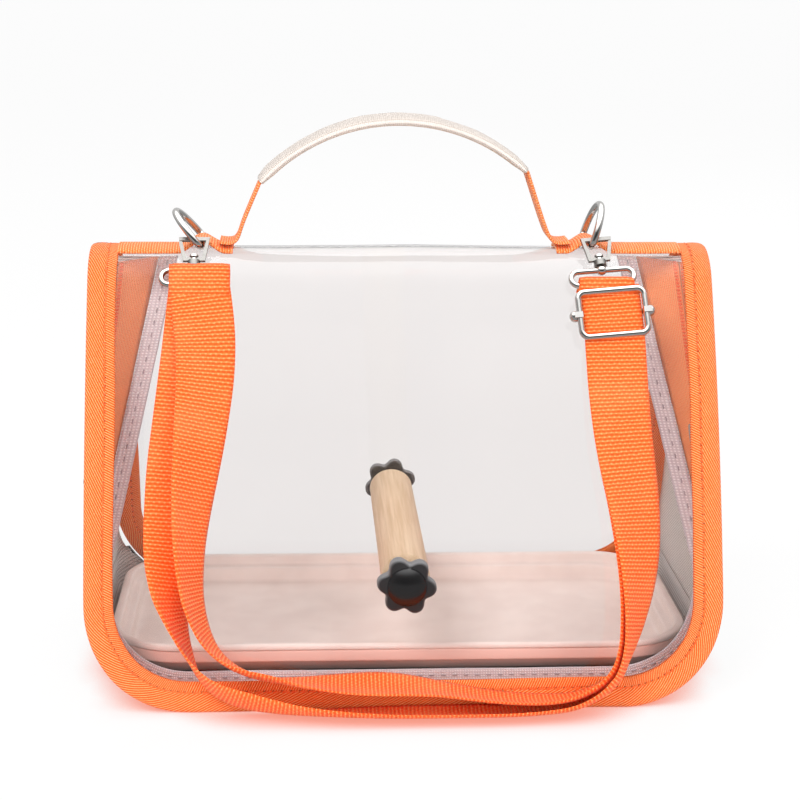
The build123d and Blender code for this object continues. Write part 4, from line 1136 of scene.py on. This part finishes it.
def build_sleeve():
    stations = in_plane(arc_points(90, -0.012))
    total = stations[-1][2]

    def spot(station, k):
        place, normal, run = station
        ends = smooth(run / (6 * MM)) * smooth((total - run) / (6 * MM))
        facet = 0.35 * MM * wave(11, run * 42) + 0.2 * MM * wave(12, run * 120)
        lap = 0.45 * MM * smooth((LAP_X - place.x) / (1.2 * MM))
        turn = math.tau * k / SLEEVE_SIDES
        c, s = math.cos(turn), math.sin(turn)
        side, rise = math.copysign(abs(c) ** 0.55, c), math.copysign(abs(s) ** 0.8, s)
        half = SLEEVE_THICK / 2 * (0.72 + 0.28 * ends) + (lap + facet * ends if s > 0 else 0)
        width = SLEEVE_HALF + 0.5 * MM * wave(13, run * 60, c) * ends
        return (place + Vector((0, side * width, 0)) + normal * (rise * half),
                (run, side * SLEEVE_HALF, rise))

    return skin("padded_sleeve", stations, range(SLEEVE_SIDES), spot, SLEEVE,
                "handle")


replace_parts(build_handle_webbing(), "handle_webbing")
sleeve = build_sleeve()
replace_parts(sleeve, "handle_sleeve")

# ---- shoulder strap
STRAP_HALF, STRAP_THICK = 12.5 * MM, 1.1 * MM
# control points: x, z and distance out of the carrier's surface in mm, roll in degrees, share of
# the full width
FRONT_STRAND = [
    (-84.2, 163, 5, 0, 1), (-81.8, 148, 5.1, 3, 1), (-81.2, 131, 5.6, 12, 0.96),
    (-82.6, 115, 6.6, 24, 0.93), (-84.5, 98.5, 8.2, 35, 0.92), (-86.4, 82.5, 9.5, 46, 0.91),
    (-87.6, 66.5, 10.6, 57, 0.88), (-87, 51, 11, 66, 0.86), (-85.2, 41, 11, 71, 0.84),
    (-81.5, 31.5, 10.8, 78, 0.82), (-75.5, 23.5, 10.4, 88, 0.78), (-66.5, 18.3, 10.2, 97, 0.75),
    (-56, 15.7, 10, 102, 0.74), (-43, 13.6, 10, 88, 0.74), (-27, 12.6, 10, 73, 0.74),
    (-12, 12.4, 10, 67, 0.74), (-1, 11.9, 10, 71, 0.74), (13, 10.4, 10, 80, 0.74),
    (29, 7.7, 9.9, 84, 0.74), (43, 6.2, 9.8, 86, 0.74), (55.5, 5.8, 9.8, 88, 0.73),
    (65, 6.6, 9.8, 93, 0.72), (72.8, 9, 9.9, 98, 0.71), (79.5, 12.8, 9.9, 102, 0.71),
    (84.3, 18, 9.8, 106, 0.73), (87.3, 24.5, 9.6, 111, 0.76), (89.8, 32.5, 9.3, 119, 0.82),
    (92.5, 48, 8.6, 131, 0.91), (93.2, 64, 7.6, 144, 0.93), (92.1, 81, 6, 155, 0.94),
    (90, 97, 4.5, 165, 0.95), (88.6, 114, 3, 173, 0.96), (88, 131, 1.6, 180, 0.96),
    (87.6, 152.3, 1.3, 180, 0.98)]
BACK_STRAND = [
    (-84.5, 163, 1.4, 0, 1), (-86.2, 147, 1.3, 0, 1), (-88.6, 128, 1.3, 0, 1),
    (-90.5, 112, 1.3, 0, 1), (-92.8, 95, 1.5, 2, 1), (-93.8, 78.5, 2.4, 8, 1),
    (-94.5, 63, 4.8, 22, 0.98), (-94.9, 54, 6.6, 36, 0.95), (-95, 46, 8.2, 52, 0.92),
    (-93.6, 39.5, 9.4, 66, 0.88), (-91, 32, 10, 76, 0.84), (-87.6, 24.5, 10, 86, 0.8),
    (-82.5, 16, 10, 101, 0.76), (-75.5, 10, 10, 115, 0.72), (-64.5, 6.2, 9.8, 121, 0.7),
    (-52, 4, 9.7, 113, 0.68), (-43, 3.1, 9.7, 105, 0.67), (-29, 2.6, 10.7, 96, 0.66),
    (-17, 2.2, 10.7, 91, 0.66), (-3, 2, 10.7, 87, 0.66), (11.5, 2, 10.7, 86, 0.66),
    (27, 2, 10.7, 86, 0.66), (42, 2, 10.7, 87, 0.66), (55, 2.4, 9.8, 89, 0.66),
    (66, 3.4, 10, 92, 0.66), (74.5, 6.4, 10.3, 97, 0.68), (81.2, 10.5, 10.4, 102, 0.7),
    (86.2, 16, 10.5, 106, 0.74), (89.3, 23.2, 10.6, 111, 0.78), (91.8, 31.8, 10.7, 119, 0.84),
    (94.1, 48, 10.6, 131, 0.96), (94.4, 64, 10, 144, 0.98), (92.8, 81, 8.6, 155, 1),
    (90.3, 97, 7.2, 165, 1), (88.6, 114, 6, 173, 1), (87.8, 131, 5.3, 179, 1),
    (87.65, 146, 5.1, 180, 1), (86.15, 163, 5, 180, 1)]


def over_surface(x, z, out):
    return Vector((x, front_y(z), z)) + front_normal(z) * out


def strap_strand(name, controls):
    """One strand: centre line and its roll, both read from splines with the same knots."""
    line = spline_run([over_surface(x * MM, z * MM, out * MM) for x, z, out, _, _ in controls])
    shape = spline_run([(math.radians(roll), share, 0) for _, _, _, roll, share in controls])
    frames, cup = [], []
    for place, ahead, run, turn in zip(line, tangents(line), runs(line), shape):
        normal = front_normal(place.z)
        across = ahead.cross(normal).normalized()
        up = across.cross(ahead).normalized()
        half = across * math.cos(turn.x) + up * math.sin(turn.x)
        face = up * math.cos(turn.x) - across * math.sin(turn.x)
        half *= STRAP_HALF * turn.y * (1 + 0.015 * wave(14, run * 30))
        frames.append((place, half, face, run))
        cup.append((1 - turn.y) * 7 * MM * (1 if face.z >= 0 else -1) * min(1, abs(face.z) * 2))
    strand = ribbon(name, frames, STRAP_THICK, WEBBING, "strap", 10, cup)
    for vertex in strand.data.vertices:
        vertex.co.z = max(vertex.co.z, 0.25 * MM)
    return strand, line


front_band, front_line = strap_strand("strap_front", FRONT_STRAND)
back_band, back_line = strap_strand("strap_back", BACK_STRAND)
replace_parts(front_band, "strap_strand_front")
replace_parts(back_band, "strap_strand_back")
HOOK_LEAN = math.radians(40)
EYE_UP = Vector((0, math.sin(HOOK_LEAN), math.cos(HOOK_LEAN)))
FOLD_REACH = 2.1 * MM         # from the eye's bar to the webbing's middle


def build_strap_fold(side_name):
    """The strap's turn round the eye's lower bar, opening out to the two strands."""
    left = side_name == "left"
    low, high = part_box(f"strap_fold_{side_name}")
    centre = (low + high) / 2
    x_end, z_end, *_ = FRONT_STRAND[0] if left else BACK_STRAND[-1]
    x_end, z_end = x_end * MM, (z_end - 1) * MM
    front, back = (Vector((0, front_y(z_end, out), z_end)) for out in (5.1 * MM, 1.3 * MM))
    bar = Vector((0, centre.y, centre.z))
    top = bar + EYE_UP * (6.6 * MM if left else 0)

    def off(place, y, z):
        return place + Vector((0, y, z)) * FOLD_REACH

    controls = [front, front + Vector((0, 0.4 * MM, 2.5 * MM)), off(bar, -1.25, -0.3)]
    if left:
        controls.append(off(lerp(bar, top, 0.6), -1.2, 0.6))
    controls += [off(top, -0.9, 1.1), off(top, 0.7, 1.35), off(top, 1.3, 0),
                 back + Vector((0, 0.6 * MM, 2.5 * MM)), back]
    path = spline_run(controls, 8)
    spans = runs(path)
    x = x_end if left else lerp(x_end, centre.x, 0.5)
    frames = []
    for place, ahead, run in zip(path, tangents(path), spans):
        gather = 1 if left else 1 - 0.1 * math.sin(math.pi * run / spans[-1])
        frames.append((Vector((x, place.y, place.z)), Vector((STRAP_HALF * gather, 0, 0)),
                       Vector((0, -ahead.z, ahead.y)), run))
    fold = ribbon(f"strap_turn_{side_name}", frames, STRAP_THICK, WEBBING,
                  "strap")
    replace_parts(fold, f"strap_fold_{side_name}")
    return fold


strap_turns = [build_strap_fold("left"), build_strap_fold("right")]


def build_ball_ends():
    """Upset round ends of the slider's bar, outside its frame."""
    low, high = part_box("slider_bar")
    radius, rings, sides = 2.4 * MM, 11, 24
    half = Vector(((high.x - low.x) / 2 - 0.7 * MM, 0.6 * MM, 1.2 * MM))
    verts, faces = [], []
    for centre in ((low + high) / 2 - half, (low + high) / 2 + half):
        faces += tube_faces(len(verts), rings, sides)
        for i in range(rings):
            lift = math.pi * (rings - i) / (rings + 1)
            for j in range(sides):
                turn = math.tau * j / sides
                spoke = Vector((0, math.cos(turn), math.sin(turn))) * math.sin(lift)
                verts.append(centre + radius * (spoke + Vector((math.cos(lift), 0, 0))))
    return piece("bar_ball_ends", verts, faces, CHROME, "strap")


ball_ends = build_ball_ends()

# ---- finishes of the rigid CAD parts
FINISHES = (                  # material, softened edge in mm, nodes
    (WOOD, 0.5, "perch_dowel"), (BOARD, 0.4, "base_board"),
    (STEEL, 0, "knob_screw_front", "knob_screw_back"),
    (CHROME, 0, "d_ring_left", "d_ring_right", "hook_eye_left", "hook_eye_right", "strap_slider"),
    (CHROME, 0.15, "slider_bar"),
    (CAST, 0.35, "hook_claw_left", "hook_claw_right"),
    (CAST, 0.25, "hook_gate_left", "hook_gate_right"),
    (ZIP_METAL, 0.2, "zip_slider_left", "zip_slider_right"),
    (ZIP_METAL, 0.35, "zip_pull_left", "zip_pull_right"))


def finish_node(node, look, bevel):
    """A rigid CAD part keeps its shape and gets its material and softened edges."""
    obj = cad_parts[node]
    obj.data.materials.clear()
    obj.data.materials.append(look)
    if bevel:
        edges = obj.modifiers.new("softened edges", "BEVEL")
        edges.width = bevel * MM
        edges.segments = 3
        edges.limit_method = "ANGLE"
        edges.angle_limit = math.radians(35)


for look, bevel, *nodes in FINISHES:
    for node in nodes:
        finish_node(node, look, bevel)

# ---- the strands' centre lines read out as points (no cords are made)
tuple(front_line[0])
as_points(front_line)
tuple(back_line[0])
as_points(back_line)


# ---- studio
GLOW_REACH, GLOW_DEPTH = 18 * MM, 0.8     # how far from the base the floor gets painted orange bounce light, and how much
FLOOR_WHITE = 0.88            # share of the floor's white that is its own light
FILL_LIGHT = 0.84             # strength of the sky as light


def studio_floor():
    """White floor, near white to the camera, with painted orange bounce light in the contact shade
    close to what stands on it.
    """
    reach = 10.0
    mesh = bpy.data.meshes.new("studio_floor")
    mesh.from_pydata([(x * reach, y * reach, 0) for x, y in ((-1, -1), (1, -1), (1, 1), (-1, 1))],
                     [], [(0, 1, 2, 3)])
    look = Look("studio_white", (0.9, 0.9, 0.9, 1), 0.35)
    nearby = look.node("AmbientOcclusion", ((1, 1, 1, 1), GLOW_REACH), samples=8)
    shade = look.sub(1.0, nearby.outputs["AO"])
    # painted bounce light: where the floor is shaded by what stands on it, it glows orange
    glow = look.mul(look.fit(shade, 0.12, 0.95), GLOW_DEPTH)
    # a glossy ray that isn't seen through the vinyl: polished parts mirror a darker floor
    mirrored = look.mul(look.rays("Glossy"), look.sub(1.0, look.rays("Transmission")))
    white = look.node("Emission", (look.mix(glow, (1, 1, 1, 1), rgb(255, 120, 74)),
                                   look.mad(mirrored, -0.7, 1.0)))
    share = look.mul(look.rays("Camera", "Glossy", "Transmission"), FLOOR_WHITE)
    mesh.materials.append(look.surface(share, white))
    add_object("studio_floor", mesh)


def studio_world():
    """White to the camera and through clear parts, graded for reflections, soft fill for light."""
    world = bpy.data.worlds.new("studio")
    bpy.context.scene.world = world
    world.use_nodes = True
    world.node_tree.nodes.clear()
    sky = Nodes(world.node_tree)
    toward = sky.node("TexCoord").outputs["Generated"]
    _, y, z = sky.node("SeparateXYZ", (toward,)).outputs
    # what polished parts mirror: dark in front, white behind, a bright patch overhead
    mirrored = sky.add(sky.spread(y, -0.95, 0.2, 0.06, 0.9), sky.spread(z, 0.5, 0.92, 0.0, 4.5))
    fill = sky.blend(sky.rays("Glossy"), FILL_LIGHT, mirrored)
    strength = sky.blend(sky.rays("Camera", "Transmission"), fill, 1.0)
    background = sky.node("Background", (None, strength))
    sky.node("OutputWorld", (background.outputs[0],))


def area_lamp(name, place, target, size, power):
    lamp = bpy.data.lights.new(name, "AREA")
    lamp.shape, lamp.size, lamp.energy = "DISK", size, power
    obj = add_object(name, lamp)
    obj.location = place
    obj.rotation_euler = (Vector(target) - Vector(place)).to_track_quat("-Z", "Y").to_euler()
    obj.visible_glossy = obj.visible_transmission = False


studio_floor()
studio_world()
area_lamp("key", (-0.7, -1.1, 1.5), (0, 0, 0.08), 0.9, 22)
area_lamp("back_fill", (0.8, 1.1, 1.3), (0, 0, 0.1), 1.0, 9)
area_lamp("front_fill", (0.35, -1.3, 0.35), (0, 0, 0.07), 1.0, 8)

# ---- camera
CAMERA_PLACE = (-0.04182, -0.7812, 0.30445)
CAMERA_YAW, CAMERA_PITCH, CAMERA_ROLL = (math.radians(a) for a in (3.1, 13.94, 0.51))
CAMERA_LENS, CAMERA_SENSOR = 83.286, 36.0


def add_camera():
    forward = Vector((math.sin(CAMERA_YAW) * math.cos(CAMERA_PITCH),
                      math.cos(CAMERA_YAW) * math.cos(CAMERA_PITCH), -math.sin(CAMERA_PITCH)))
    right = Vector((math.cos(CAMERA_YAW), -math.sin(CAMERA_YAW), 0))
    up = right.cross(forward)
    c, s = math.cos(CAMERA_ROLL), math.sin(CAMERA_ROLL)
    right, up = right * c + up * s, up * c - right * s
    data = bpy.data.cameras.new("camera")
    data.lens, data.sensor_width, data.sensor_height = CAMERA_LENS, CAMERA_SENSOR, CAMERA_SENSOR
    data.sensor_fit = "HORIZONTAL"
    data.clip_start = 0.01
    camera = add_object("camera", data)
    axes = Matrix((right, up, -forward)).transposed().to_4x4()
    camera.matrix_world = Matrix.Translation(CAMERA_PLACE) @ axes
    bpy.context.scene.camera = camera


add_camera()
bpy.context.scene.view_settings.view_transform = "Standard"
